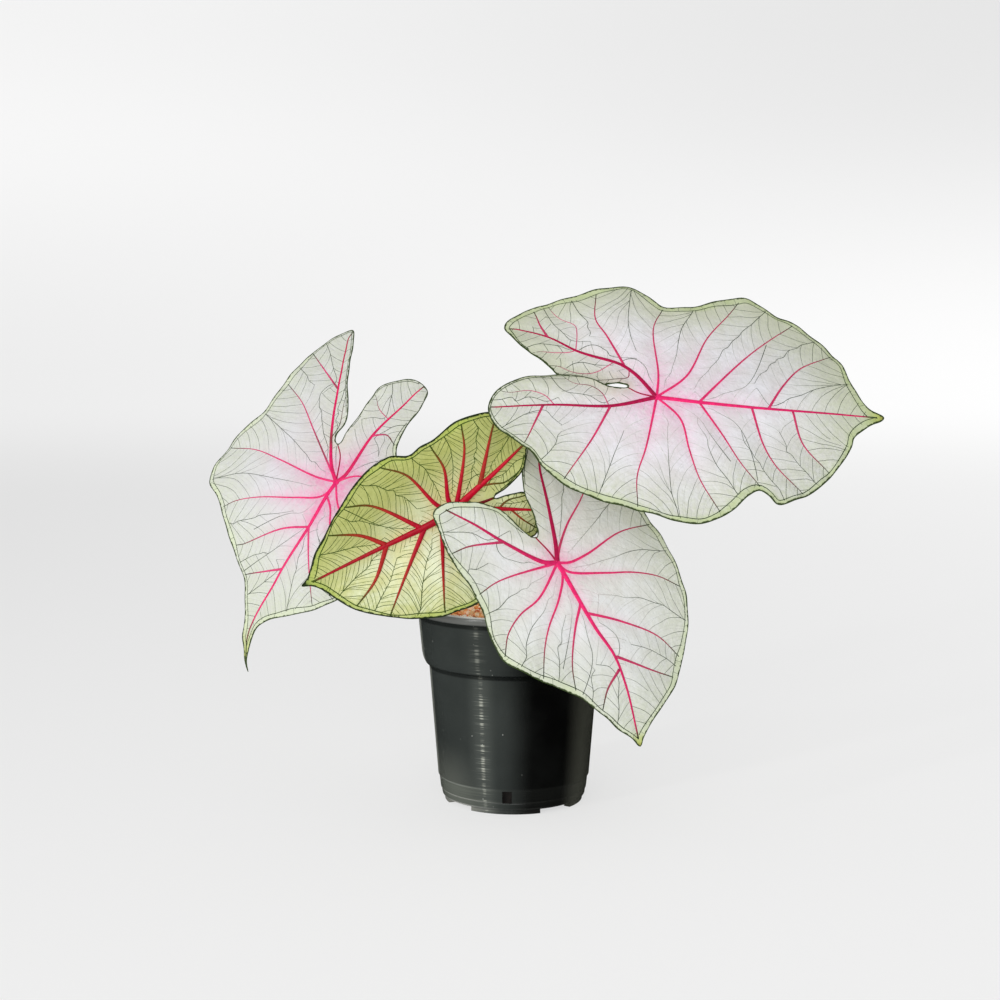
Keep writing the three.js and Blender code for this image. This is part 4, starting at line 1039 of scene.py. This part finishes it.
def leaf_skin(name, tones):
    """Leaf lamina: waxy skin over pale tissue. A pink glow spreads from the veins, the
    outer parts turn greener, a green band follows the margin, which ends in a thin
    dark line, and a fine grain of tiny cells breaks the gloss."""
    finish, tree, shader = new_finish(name)
    place = place_on(tree)
    fields = [add_node(tree, "ShaderNodeAttribute", {"attribute_name": field})
              for field in ("leaf_fields", "leaf_place")]
    (glow, rim, reach), (side, tip, band) = (
        parts_of(tree, field.outputs["Vector"]) for field in fields)
    # blotches about 14 mm wide, and streaks about 3 mm wide
    blotch = noise(tree, place, 70.0, 3.0)
    streak = noise(tree, place, 330.0, 4.0, distortion=0.6)
    body = mix_colours(tree, ramp(tree, blotch, 0.35, 0.65), colour(tones["pale"]),
                       colour(tones["tinted"]))
    # each of these lies over the one before: how much of it, and its tone
    deep = multiply(tree, ramp(tree, side, 0.1, 1.0, 0.0, tones["deep_strength"]),
                    ramp(tree, reach, *tones["deep_at"], 1.0))
    streaky = ramp(tree, streak, 0.3, 0.7, 0.5, 1.0)
    outwards = multiply(tree, ramp(tree, reach, 0.5, 1.0, 0.0, 0.8), streaky)
    towards_tip = multiply(tree, ramp(tree, tip, 0.0, 55.0, 0.9, 0.0), streaky)
    by_veins = multiply(tree, glow, ramp(tree, streak, 0.25, 0.7, 0.5, 1.0))
    patchy = ramp(tree, blotch, 0.35, 0.65, tones["band_strength"] * 0.55,
                  tones["band_strength"])
    # the dark line along the edge is uneven in width
    line = calculate(tree, "SUBTRACT", rim, ramp(tree, streak, 0.35, 0.65, -0.2, 0.35))
    for amount, tone in (
            (deep, "deep"), (outwards, "outer"), (towards_tip, "outer"),
            (by_veins, "glow"), (multiply(tree, band, patchy), "band"),
            (ramp(tree, tip, 3.0, 15.0, 0.85, 0.0), "tip"),
            (ramp(tree, tip, 1.5, 4.5, 0.8, 0.0), "dry_tip"),
            (ramp(tree, line, *tones["edge_at"], 1.0, 0.0), "edge")):
        body = mix_colours(tree, amount, body, colour(tones[tone]))
    # cells of the skin, about 0.9 mm across, and soft dimples between the small veins
    cells = add_node(tree, "ShaderNodeTexVoronoi", {"feature": "DISTANCE_TO_EDGE"},
                     {"Vector": place, "Scale": 620.0}).outputs["Distance"]
    relief = bump(tree, ramp(tree, cells, 0.0, 0.25), 0.22, 0.00006)
    relief = bump(tree, streak, 0.5, 0.0006, Normal=relief)
    relief = bump(tree, noise(tree, place, 170.0, 2.0), 0.5, 0.0016, Normal=relief)
    set_inputs(tree, shader, {
        "Base Color": body, "Normal": relief, "Specular IOR Level": 0.3,
        "Roughness": ramp(tree, blotch, 0.3, 0.7, 0.46, 0.6)})
    return finish


def vein_skin(name, roughness):
    """Veins: smooth, wet-looking tissue whose colour runs from pink to green."""
    finish, tree, shader = new_finish(name)
    fleck = noise(tree, place_on(tree), 420.0, 3.0)
    set_inputs(tree, shader, {
        "Base Color": own_tint(tree, ramp(tree, fleck, 0.3, 0.7, 0.82, 1.08)),
        "Normal": bump(tree, fleck, 0.3, 0.0002),
        "Roughness": roughness, "Specular IOR Level": 0.18})
    return finish


def stalk_skin(name):
    """Stalk: smooth, fleshy and green, mottled brown-red towards the foot."""
    finish, tree, shader = new_finish(name)
    place = place_on(tree)
    height = parts_of(tree, place)["Z"]
    streak = noise(tree, stretched(tree, place, (1.0, 1.0, 0.16)), 700.0, 4.0)
    body = mix_colours(tree, ramp(tree, height, 0.12, 0.24), colour("#6f5a41"),
                       colour("#a7a865"))
    body = mix_colours(tree, ramp(tree, streak, 0.45, 0.62, 0.0, 0.55), body,
                       colour("#9a4a4c"))
    set_inputs(tree, shader, {"Base Color": body, "Roughness": 0.42,
                              "Normal": bump(tree, streak, 0.35, 0.0003)})
    return finish


# the pot's pale upright streak is a painted highlight
HIGHLIGHT_STREAK_AT = -0.385       # how far to the left the pale streak of the pot lies


def pot_plastic(name):
    """Black polypropylene, moulded. A painted sheen greys its left side and thins out round
    the front and towards the base, a painted edge reflection lies olive at the far right and
    pale at the far left, and a painted highlight runs in one upright streak, broken by level
    marks.
    Painted highlights with some wear catch the rings near the base and the feet on the left,
    the lip is painted grey as sheen and wear with a painted highlight along its top, and
    painted shade lies under the lip and the collar."""
    finish, tree, shader = new_finish(name)
    place = place_on(tree)
    height = parts_of(tree, place)["Z"]
    level_part = add_node(tree, "ShaderNodeVectorMath", {"operation": "MULTIPLY"},
                          {0: place, 1: (1.0, 1.0, 0.0)}).outputs[0]
    bearing = add_node(tree, "ShaderNodeVectorMath", {"operation": "NORMALIZE"},
                       {0: level_part}).outputs[0]
    # side is -1 at the far left of the pot and 1 at the far right, front is its depth
    side, front, _ = parts_of(tree, bearing)
    # scratches run level: long round the wall, a third of a millimetre high
    level = stretched(tree, place, (0.3, 0.3, 14.0))
    scratch, marks = (noise(tree, level, scale, 5.0, roughness=0.65)
                      for scale in (190.0, 80.0))
    cloud = noise(tree, place, 28.0, 5.0)
    patchy = ramp(tree, cloud, 0.3, 0.7, 0.8, 1.0)
    leftward = ramp(tree, side, -0.1, -0.85, 0.03, 1.0)

    def lay_tone(body, tone, *shares):
        share = shares[0]
        for more in shares[1:]:
            share = multiply(tree, share, more)
        return mix_colours(tree, share, body, colour(tone))

    def between(low, high, soft=0.0004):
        return multiply(tree, ramp(tree, height, low - soft, low),
                        ramp(tree, height, high, high + soft, 1.0, 0.0))

    body = mix_colours(tree, ramp(tree, cloud, 0.35, 0.7), colour("#050505"),
                       colour("#0c0d0c"))
    # painted sheen: the left side is lighter, where the lamp's broad sheen falls
    body = lay_tone(body, "#343836", ramp(tree, side, 0.25, -0.22), patchy)
    # painted edge reflection: an olive strip at the far right
    body = lay_tone(body, "#3d3e37", ramp(tree, side, 0.6, 0.88), patchy)
    # painted sheen: lighter towards the base on the left
    body = lay_tone(body, "#5e615a", ramp(tree, height, 0.05, 0.008, 0.0, 0.8),
                ramp(tree, side, -0.35, -0.9))
    # painted edge reflection: a pale strip along the far left edge
    body = lay_tone(body, "#8a8d85", ramp(tree, side, -0.955, -0.985), patchy)
    # the painted highlight streak: a soft painted sheen, level marks that fray it, and its
    # bright broken core
    facing = ramp(tree, front, 0.0, -0.3)
    off = calculate(tree, "ABSOLUTE", calculate(tree, "SUBTRACT", side, HIGHLIGHT_STREAK_AT))
    collar = ramp(tree, height, 0.09, 0.1, 1.0, 0.35)
    for tone, inner, outer, strength, low, high in (
            ("#4e524e", 0.0, 0.2, 0.6, 0.0, 0.3),
            ("#7c8078", 0.0, 0.12, 0.55, 0.52, 0.66),
            ("#b4b6aa", 0.004, 0.034, 0.8, 0.47, 0.64)):
        body = lay_tone(body, tone, ramp(tree, off, inner, outer, strength, 0.0),
                    ramp(tree, marks, low, high), facing, collar)
    # short level marks painted as glints of light on scratches on the lit left, and specks of
    # dust of two sizes, only on the lit left side
    body = lay_tone(body, "#8b8d86", ramp(tree, scratch, 0.64, 0.72, 0.0, 0.3),
                ramp(tree, cloud, 0.45, 0.6), leftward)
    for scale, size in ((75.0, 0.05), (150.0, 0.07)):
        speck = add_node(tree, "ShaderNodeTexVoronoi", {"feature": "F1"},
                         {"Vector": place, "Scale": scale})
        chosen = parts_of(tree, speck.outputs["Color"])["X"]
        body = lay_tone(body, "#a9aca6",
                    ramp(tree, speck.outputs["Distance"], size * 0.5, size, 1.0, 0.0),
                    ramp(tree, chosen, 0.5, 0.9), ramp(tree, side, 0.2, -0.1))
    # painted highlights, with some wear, on the lit left: the band at the base, the feet, two
    # rings and the bottom edge
    highlight_fray = ramp(tree, marks, 0.35, 0.6, 0.45, 1.0)
    for low, high, tone in ((0.003, 0.0168, "#5a5e57"), (-0.001, 0.0031, "#85867f"),
                            (0.0034, 0.0042, "#9c9d98"), (0.0079, 0.0086, "#8f918a"),
                            (0.0167, 0.0178, "#767a73")):
        body = lay_tone(body, tone, between(low, high), highlight_fray, leftward)
    # painted shade under the collar and the lip, deeper on the right
    for low, high in ((0.0928, 0.0951), (0.127, 0.1289)):
        body = lay_tone(body, "#070908", between(low, high, 0.0012),
                    ramp(tree, side, 1.0, -1.0, 1.0, 0.6))
    # the lip's rim: painted sheen and wear in grey, then a painted highlight along its top
    lip_sheen_and_wear = multiply(tree, ramp(tree, height, 0.129, 0.1298),
                      ramp(tree, scratch, 0.3, 0.7, 0.7, 1.0))
    body = lay_tone(body, "#6a6b68", lip_sheen_and_wear)
    body = lay_tone(body, "#d6d7d2", ramp(tree, height, 0.1334, 0.1346))
    set_inputs(tree, shader, {
        "Base Color": body, "Normal": bump(tree, scratch, 1.0, 0.0001),
        "Roughness": ramp(tree, cloud, 0.35, 0.65, 0.16, 0.26),
        "Specular IOR Level": 0.35})
    return finish


def earth(name, dark, light, grain):
    """Crumbly or corky matter: matt, uneven in colour, rough to the touch."""
    finish, tree, shader = new_finish(name)
    crumb = noise(tree, place_on(tree), grain, 8.0, roughness=0.7)
    body = mix_colours(tree, ramp(tree, crumb, 0.35, 0.65), colour(dark), colour(light))
    set_inputs(tree, shader, {"Base Color": body, "Roughness": 0.92,
                              "Normal": bump(tree, crumb, 0.9, 0.001)})
    return finish


def fired_clay(name):
    """Baked-clay grit: matt and porous, each grain its own orange, tan or peach, its colour
    lifted up to 1.6 times by a noise as painted light that makes up for the shade the grit
    lies in.
    """
    finish, tree, shader = new_finish(name)
    pore = noise(tree, place_on(tree), 1100.0, 4.0, roughness=0.7)
    set_inputs(tree, shader, {
        "Base Color": own_tint(tree, ramp(tree, pore, 0.3, 0.65, 1.0, 1.6)),
        "Roughness": 0.95, "Normal": bump(tree, pore, 0.7, 0.0004)})
    return finish


# ---------- make the leaves ----------

# deep is the tone on the greener side; deep_at gives the reach where it begins and is
# full, and its share before that
WHITE_TONES = {
    "pale": "#dbdcdd", "tinted": "#d5d5d2", "deep": "#b4b598", "deep_strength": 0.0,
    "deep_at": (0.62, 1.0, 0.0), "outer": "#c2c7b4", "glow": "#e590b6",
    "band": "#c8d2ae", "band_strength": 0.8, "tip": "#a6b152", "dry_tip": "#94903f",
    "edge": "#36451f", "edge_at": (0.45, 1.0)}
UPPER_SKINS = {
    "right": leaf_skin("leaf skin, white, greener on one side", {
        **WHITE_TONES, "pale": "#dadade", "tinted": "#d2d0d1", "deep_strength": 0.7,
        "deep_at": (0.68, 1.0, 0.0), "outer": "#bdc3aa", "glow": "#e59cc2",
        "band": "#b3c08e", "band_strength": 0.9, "edge_at": (0.6, 1.2)}),
    "left": leaf_skin("leaf skin, lilac white", {
        **WHITE_TONES, "pale": "#cfcfd2", "tinted": "#cacac9", "glow": "#dd8cb0",
        "tip": "#b4bb58", "dry_tip": "#b09648"}),
    "front": leaf_skin("leaf skin, white", WHITE_TONES),
}
UPPER_SKINS["back"] = UPPER_SKINS["front"]
PALE_UNDER = leaf_skin("leaf skin, pale under face", {
    "pale": "#ccd3bb", "tinted": "#c2cbaa", "deep": "#c2cbaa", "deep_strength": 0.0,
    "deep_at": (0.1, 0.9, 0.45), "outer": "#aebb8c", "glow": "#cf8f92",
    "band": "#93a860", "band_strength": 0.9, "tip": "#8f9a4c", "dry_tip": "#7a6238",
    "edge": "#3f5424", "edge_at": (0.35, 0.9)})
OLIVE_UNDER = leaf_skin("leaf skin, olive under face", {
    "pale": "#e0e5c6", "tinted": "#d6d6a4", "deep": "#8c9138", "deep_strength": 0.9,
    "deep_at": (0.1, 0.9, 0.45), "outer": "#b3b972", "glow": "#d0a870",
    "band": "#9fb04a", "band_strength": 0.85, "tip": "#6c8236", "dry_tip": "#41562c",
    "edge": "#1c2d06", "edge_at": (0.7, 1.3)})
VEIN_SKIN = vein_skin("vein skin, upper face", 0.42)
RIB_SKIN = vein_skin("rib skin, under face", 0.4)
STALK_SKIN = stalk_skin("stalk skin")


def make_leaf(name, seed):
    """The lamina, and the net that its veins above and its ribs below share."""
    leaf = Leaf(name, LEAVES[name], seed)
    back = name == "back"
    make_lamina(leaf, UPPER_SKINS[name], OLIVE_UNDER if back else PALE_UNDER)
    arcs = cross_veins(leaf)
    net = (arcs, between_veins(leaf, arcs), *margin_vein(leaf))
    upper = PINK_UPPER if name == "left" else UPPER
    for face, tones, sizes, part, finish, slot, swelling in (
            (1, upper, UPPER_SIZES, "veins", VEIN_SKIN, "leaf_veins", HUB_RISE),
            (-1, UNDER, BACK_SIZES if back else UNDER_SIZES, "ribs", RIB_SKIN, "leaf_ribs",
             HUB_LENGTH - HUB_RISE)):
        strips = lay_veins(leaf, face, tones, sizes, net)
        strips.swell(HUB_RADIUS, swelling, colour(tones["main"]))
        piece = strips.piece(f"leaf_{name}_{part}_fine", finish)
        finish_piece(piece, f"leaf_{name}_{part}")
    return leaf


def make_stalk(leaf):
    """A round, tapering stalk along the same path as its solid. It gives the place
    where it comes out of the grit."""
    top = leaf.origin - leaf.normal * (HUB_LENGTH + CLEARANCE)
    lead = leaf.origin - leaf.normal * (HUB_LENGTH + STALK_LEAD)
    path = even(smooth_path([top, lead, *leaf.facts["stalk"]]), STALK_STEP)
    out = tangents(path)
    side = unit(np.cross(out[0], (0, 0, 1)))
    turn = np.arange(STALK_SIDES) / STALK_SIDES * 2 * math.pi
    points = []
    for i, (centre, ahead) in enumerate(zip(path, out)):
        side = unit(side - ahead * side.dot(ahead))
        up = np.cross(ahead, side)
        t = i / (len(path) - 1)
        radius = STALK_TOP_RADIUS + (STALK_FOOT_RADIUS - STALK_TOP_RADIUS) * t
        points.append(centre + radius * (np.cos(turn)[:, None] * side
                                         + np.sin(turn)[:, None] * up))
    faces = []
    last = (len(path) - 1) * STALK_SIDES
    for a in range(0, last, STALK_SIDES):
        b = a + STALK_SIDES
        for k in range(STALK_SIDES):
            n = (k + 1) % STALK_SIDES
            faces.append((a + k, a + n, b + n, b + k))
    faces.append(tuple(reversed(range(STALK_SIDES))))
    faces.append(tuple(range(last, last + STALK_SIDES)))
    piece = make_piece(f"leaf_{leaf.name}_stalk_round", np.concatenate(points), faces,
                       None, (STALK_SKIN,))
    soften(piece, 40)
    finish_piece(piece, f"leaf_{leaf.name}_stalk")
    return path[np.abs(path[:, 2] - GRIT_TOP).argmin(), :2]


leaves = [make_leaf(name, FIRST_SEED + k) for k, name in enumerate(LEAVES)]
stems = [make_stalk(leaf) for leaf in leaves]

# ---------- the pot ----------

POT_SEGMENTS = 128
# radius and height, up the outside, over the lip and down the inside to the floor
POT_OUTLINE = [
    (48.3, 3.2), (48.9, 3.5), (49.3, 4.2), (49.8, 7.4), (49.7, 7.8), (50.3, 8.3),
    (50.5, 8.8), (51.2, 15.4), (51.4, 16.6), (51.9, 17.3), (52.2, 17.8), (58.3, 94.3),
    (58.8, 94.8), (59.9, 95), (60.6, 95.7), (61.2, 96.8), (61.9, 98.3), (62.5, 100),
    (63.2, 103.6), (65.7, 128.8), (65.9, 129.5), (66.5, 130), (66.75, 130.9),
    (66.8, 132.2), (66.6, 133.4), (66, 134.2), (65.4, 134.6), (64.8, 134.7),
    (64.2, 134.4), (63.8, 133.8), (63.2, 128.4), (61.4, 103.4), (61.0, 101.2),
    (60.4, 100.4), (58.6, 97.4), (56.9, 95), (56.4, 92), (48, 5),
]

FLOOR_UNDER, FLOOR_TOP = 3.2, 5.0
FOOT_COUNT, FOOT_INSIDE, FOOT_OUTSIDE, FOOT_HEIGHT = 4, 43.0, 47.5, 4.0
FOOT_ARC = math.pi / 3.05
FIRST_FOOT = -1.707      # radians round the pot, to the middle of the foot at the front
PAD_RADIUS = 9.0
DRAIN_COUNT, DRAIN_RADIUS, DRAIN_CIRCLE = 5, 4.5, 28.0
DRAIN_DEPTH = 6.0
SLOT_COUNT, SLOT_WIDTH, SLOT_HEIGHT, SLOT_LOW = 4, 6.4, 8.4, 8.0
FIRST_SLOT = -1.665      # radians round the pot, to the slot at the front
SLOT_CIRCLE, SLOT_DEPTH = 48.0, 9.0


def around_axis(radius, angle, z):
    return (radius * math.cos(angle) * MM, radius * math.sin(angle) * MM, z * MM)


def raise_wall():
    """One wall drawn up ring by ring from the floor, over the lip and down inside."""
    bpy.ops.mesh.primitive_circle_add(vertices=POT_SEGMENTS, radius=POT_OUTLINE[0][0] * MM,
                                      fill_type="NGON", location=(0, 0, 0))
    pot = bpy.context.object
    bpy.ops.object.mode_set(mode="EDIT")
    bpy.ops.mesh.select_all(action="SELECT")
    bpy.ops.transform.translate(value=(0, 0, POT_OUTLINE[0][1] * MM))
    bpy.ops.mesh.select_mode(type="FACE")
    for (r0, z0), (r1, z1) in zip(POT_OUTLINE, POT_OUTLINE[1:]):
        bpy.ops.mesh.extrude_region_move(
            TRANSFORM_OT_translate={"value": (0, 0, (z1 - z0) * MM)})
        bpy.ops.transform.resize(value=(r1 / r0, r1 / r0, 1),
                                 center_override=(0, 0, z1 * MM))
    bpy.ops.mesh.select_all(action="SELECT")
    bpy.ops.mesh.normals_make_consistent(inside=False)
    bpy.ops.object.mode_set(mode="OBJECT")
    return pot


def make_foot(middle):
    """A short arc of foot: its section stood upright and spun round the pot's axis."""
    start = middle + FOOT_ARC / 2
    bpy.ops.mesh.primitive_plane_add(
        size=1, rotation=(math.pi / 2, 0, start),
        location=around_axis((FOOT_INSIDE + FOOT_OUTSIDE) / 2, start, FOOT_HEIGHT / 2))
    foot = bpy.context.object
    foot.scale = ((FOOT_OUTSIDE - FOOT_INSIDE) * MM, FOOT_HEIGHT * MM, 1)
    bpy.ops.object.transform_apply(location=True, rotation=True, scale=True)
    bpy.ops.object.mode_set(mode="EDIT")
    bpy.ops.mesh.select_all(action="SELECT")
    bpy.ops.mesh.spin(steps=14, angle=FOOT_ARC, center=(0, 0, 0), axis=(0, 0, 1))
    bpy.ops.mesh.select_all(action="SELECT")
    bpy.ops.mesh.remove_doubles(threshold=1e-5)
    bpy.ops.mesh.normals_make_consistent(inside=False)
    bpy.ops.object.mode_set(mode="OBJECT")
    return foot


def cut(body, tool):
    """Takes the tool's shape out of the body."""
    select_only(body)
    change = body.modifiers.new("cut", "BOOLEAN")
    change.operation = "DIFFERENCE"
    change.object = tool
    bpy.ops.object.modifier_apply(modifier=change.name)
    bpy.data.objects.remove(tool)


def make_pot():
    """The wall with its drain holes and wall slots cut, on four feet and a pad."""
    pot = raise_wall()
    pot.name = "pot_moulded"
    for k in range(DRAIN_COUNT):
        angle = math.pi / 2 + k * 2 * math.pi / DRAIN_COUNT
        bpy.ops.mesh.primitive_cylinder_add(
            vertices=28, radius=DRAIN_RADIUS * MM, depth=DRAIN_DEPTH * MM,
            location=around_axis(DRAIN_CIRCLE, angle, (FLOOR_UNDER + FLOOR_TOP) / 2))
        cut(pot, bpy.context.object)
    for k in range(SLOT_COUNT):
        angle = FIRST_SLOT + k * 2 * math.pi / SLOT_COUNT
        bpy.ops.mesh.primitive_cube_add(
            size=1, rotation=(0, 0, angle),
            location=around_axis(SLOT_CIRCLE, angle, SLOT_LOW + SLOT_HEIGHT / 2))
        slot = bpy.context.object
        slot.scale = (SLOT_DEPTH * MM, SLOT_WIDTH * MM, SLOT_HEIGHT * MM)
        bpy.ops.object.transform_apply(location=False, rotation=False, scale=True)
        cut(pot, slot)
    bpy.ops.mesh.primitive_cylinder_add(vertices=40, radius=PAD_RADIUS * MM,
                                        depth=FOOT_HEIGHT * MM,
                                        location=(0, 0, FOOT_HEIGHT / 2 * MM))
    supports = [bpy.context.object]
    supports += [make_foot(FIRST_FOOT + k * 2 * math.pi / FOOT_COUNT)
                 for k in range(FOOT_COUNT)]
    select_only(pot)
    for support in supports:
        support.select_set(True)
    bpy.ops.object.join()
    bpy.ops.object.transform_apply(location=True, rotation=True, scale=True)
    return pot


def give_finish(piece, finish):
    piece.data.materials.clear()
    piece.data.materials.append(finish)


pot = make_pot()
give_finish(pot, pot_plastic("black polypropylene, moulded"))
soften(pot, 28)
finish_piece(pot, "pot")

# ---------- the clay grit and the mix ----------

GRIT_LOW, GRIT_BED, GRIT_RADIUS = 119.8, 124.8, 61.7
GRIT_SIDES = 96
GRIT_SEED = 5
GRAIN_RADIUS = 1.75
GRAIN_PITCH = 3.3
GRAIN_SCATTER = 0.6      # how far a grain is off its place in the layer
GRAIN_MARGIN = 1.4       # from the edge of the bed to the middle of a grain
FULL_LAYER, TOP_LAYER = 0.5, 2.6     # heights of the grains over the bed
TOP_COUNT = 520
STEM_ROOM = 1.7          # from a stalk to the middle of a grain
# sRGB colours of the grains, the pale ones more often than the dark, painted paler than the
# clay as painted light against the shade the grit lies in
GRAIN_TONES = ("#fff0dc", "#ffe6cc", "#ffdcb4", "#f6cc98", "#ecb078", "#de9458", "#ffe8c8",
               "#fff4e6", "#c8683c", "#f0c8a0")
GRIT_SHADE = "#1e0a04"


def grain_shape():
    """A rounded cube of 24 faces, the form that every grain is squeezed from."""
    bpy.ops.mesh.primitive_cube_add(size=2)
    grain = bpy.context.object
    bpy.ops.object.mode_set(mode="EDIT")
    bpy.ops.mesh.select_all(action="SELECT")
    bpy.ops.mesh.subdivide(number_cuts=1)
    bpy.ops.transform.tosphere(value=0.75)
    bpy.ops.object.mode_set(mode="OBJECT")
    points = np.array([tuple(v.co) for v in grain.data.vertices])
    faces = [tuple(face.vertices) for face in grain.data.polygons]
    bpy.data.objects.remove(grain)
    return points / np.linalg.norm(points, axis=1).mean(), faces


def grain_places(random, stems):
    """A full layer of grains over the bed and a thinner one on top of it."""
    reach = GRIT_RADIUS - GRAIN_MARGIN
    steps = np.arange(-reach, reach, GRAIN_PITCH)
    places = []
    for row, y in enumerate(np.arange(-reach, reach, GRAIN_PITCH * math.sqrt(0.75))):
        for x in steps + (row % 2) * GRAIN_PITCH / 2:
            places.append((x, y, GRIT_BED + FULL_LAYER))
    places += [(x, y, GRIT_BED + TOP_LAYER)
               for x, y in random.uniform(-reach, reach, (TOP_COUNT, 2))]
    places = np.array(places)
    places += random.uniform(-GRAIN_SCATTER, GRAIN_SCATTER, places.shape)
    room = np.linalg.norm(places[:, :2], axis=1) < reach
    for stem in stems:
        away = np.linalg.norm(places[:, :2] - stem, axis=1)
        room &= away > STALK_FOOT_RADIUS + STEM_ROOM
    return places[room]


def make_grit(stems):
    """A round bed painted near-black as the shade in the gaps between the grains, and grains
    that differ in size, form, turn and colour.
    """
    random = np.random.default_rng(GRIT_SEED)
    shape, shape_faces = grain_shape()
    turn = np.linspace(0, 2 * math.pi, GRIT_SIDES, endpoint=False)
    ring = np.stack([np.cos(turn), np.sin(turn), 0 * turn], 1) * GRIT_RADIUS
    points = [ring + (0, 0, GRIT_LOW), ring + (0, 0, GRIT_BED)]
    count = 2 * GRIT_SIDES
    faces = [tuple(reversed(range(GRIT_SIDES))), tuple(range(GRIT_SIDES, count))]
    for k in range(GRIT_SIDES):
        n = (k + 1) % GRIT_SIDES
        faces.append((k, n, GRIT_SIDES + n, GRIT_SIDES + k))
    tints = [np.tile(colour(GRIT_SHADE), (count, 1))]
    for place in grain_places(random, stems):
        axes, _ = np.linalg.qr(random.normal(size=(3, 3)))
        if np.linalg.det(axes) < 0:
            axes = -axes
        size = GRAIN_RADIUS * random.uniform(0.7, 1.15) * random.uniform(0.8, 1.2, 3)
        lumps = 1 + random.uniform(-0.13, 0.13, (len(shape), 1))
        points.append(shape * lumps * size @ axes.T + place)
        faces += [tuple(count + i for i in face) for face in shape_faces]
        tone = GRAIN_TONES[random.integers(len(GRAIN_TONES))]
        tints.append(np.tile(colour(tone), (len(shape), 1)))
        count += len(shape)
    piece = make_piece("grit_grains", np.concatenate(points), faces,
                       {"tint": np.concatenate(tints)}, (fired_clay("fired clay grit"),))
    soften(piece, 35)
    finish_piece(piece, "clay_grit")


make_grit(stems)

for node, finish in (("potting_mix", earth("potting mix", "#0a0705", "#18110c", 260.0)),
                     ("tuber", earth("tuber skin, corky", "#4a3324", "#7a5a41", 180.0))):
    give_finish(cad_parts[node], finish)

# ---------- camera, floor and light ----------

# From here on, sizes are in metres
CAMERA_PLACE = (-0.0094, -1.1, 0.3)
CAMERA_TILT = math.radians(4.86)     # how far it looks down
CAMERA_LENS = 58.0
FLOOR_GLOW, WALL_GLOW = 0.59, 0.68
FLOOR_RADIUS, RIM_CURVE, WALL_TOP = 2.4, 1.6, 2.8
WORLD_LIGHT = 0.44

camera = bpy.data.objects.new("camera", bpy.data.cameras.new("camera"))
camera.location = CAMERA_PLACE
camera.rotation_euler = (math.radians(90) - CAMERA_TILT, 0, 0)
camera.data.lens = CAMERA_LENS
camera.data.sensor_width = 36.0
bpy.context.scene.collection.objects.link(camera)
bpy.context.scene.camera = camera


def backlit_paper(name):
    """Matt backdrop paper: part of its brightness is its own, which keeps the shadows on
    it faint. It is brighter to the right below and to the left above."""
    finish, tree, shader = new_finish(name)
    across, _, height = parts_of(tree, place_on(tree))
    left = ramp(tree, height, 0.2, 1.1, 0.93, 1.065)
    right = ramp(tree, height, 0.2, 1.1, 1.17, 0.895)
    glow = multiply(tree, ramp(tree, height, 0.0, 0.2, FLOOR_GLOW, WALL_GLOW),
                    ramp(tree, across, -1.6, 1.6, left, right))
    glow = multiply(tree, glow, ramp(tree, height, 0.8, 1.4, 1.0, 0.93))
    set_inputs(tree, shader, {
        "Base Color": (0.3, 0.3, 0.3, 1), "Roughness": 0.9, "Specular IOR Level": 0.0,
        "Emission Color": (1, 1, 1, 1), "Emission Strength": glow})
    return finish


def make_backdrop():
    """A floor whose rim curves up into a low wall all round."""
    bpy.ops.object.select_all(action="DESELECT")
    reach, high = FLOOR_RADIUS / 4, 0.0
    bpy.ops.mesh.primitive_circle_add(vertices=96, radius=reach, fill_type="NGON")
    floor = bpy.context.object
    floor.name = "studio_floor"
    bpy.ops.object.mode_set(mode="EDIT")
    bpy.ops.mesh.select_all(action="SELECT")
    bpy.ops.mesh.select_mode(type="FACE")
    rows = [(FLOOR_RADIUS, 0.0)]
    rows += [(FLOOR_RADIUS + RIM_CURVE * math.sin(a), RIM_CURVE - RIM_CURVE * math.cos(a))
             for a in np.linspace(0.15, math.pi / 2, 10)]
    rows.append((FLOOR_RADIUS + RIM_CURVE, WALL_TOP))
    for r, z in rows:
        bpy.ops.mesh.extrude_region_move(
            TRANSFORM_OT_translate={"value": (0, 0, z - high)})
        bpy.ops.transform.resize(value=(r / reach, r / reach, 1),
                                 center_override=(0, 0, z))
        reach, high = r, z
    bpy.ops.mesh.delete(type="ONLY_FACE")
    bpy.ops.object.mode_set(mode="OBJECT")
    floor.data.polygons.foreach_set("use_smooth", [True] * len(floor.data.polygons))
    floor.data.materials.append(backlit_paper("matt backlit paper"))
    # no gloss mirrors it: only the lamps draw highlights, and black plastic stays black
    floor.visible_glossy = False


make_backdrop()

world = bpy.data.worlds.new("studio")
bpy.context.scene.world = world
world.use_nodes = True
world.node_tree.nodes["Background"].inputs["Color"].default_value = (1, 1, 1, 1)
world.node_tree.nodes["Background"].inputs["Strength"].default_value = WORLD_LIGHT
world.cycles_visibility.glossy = False


def add_lamp(name, place, target, size, power):
    """A white oblong lamp that faces the target."""
    data = bpy.data.lights.new(name, "AREA")
    data.shape = "RECTANGLE"
    data.size, data.size_y = size
    data.energy = power
    lamp = bpy.data.objects.new(name, data)
    lamp.location = place
    lamp.rotation_euler = (Vector(target) - Vector(place)).to_track_quat("-Z", "Y").to_euler()
    bpy.context.scene.collection.objects.link(lamp)


add_lamp("strip", (-1.3, -1.24, 0.55), (0, 0, 0.12), (0.05, 1.0), 9.0)
add_lamp("soft", (-0.3, -2.2, 0.65), (0, 0, 0.2), (2.0, 1.2), 22.0)
bpy.context.scene.view_settings.view_transform = "Standard"
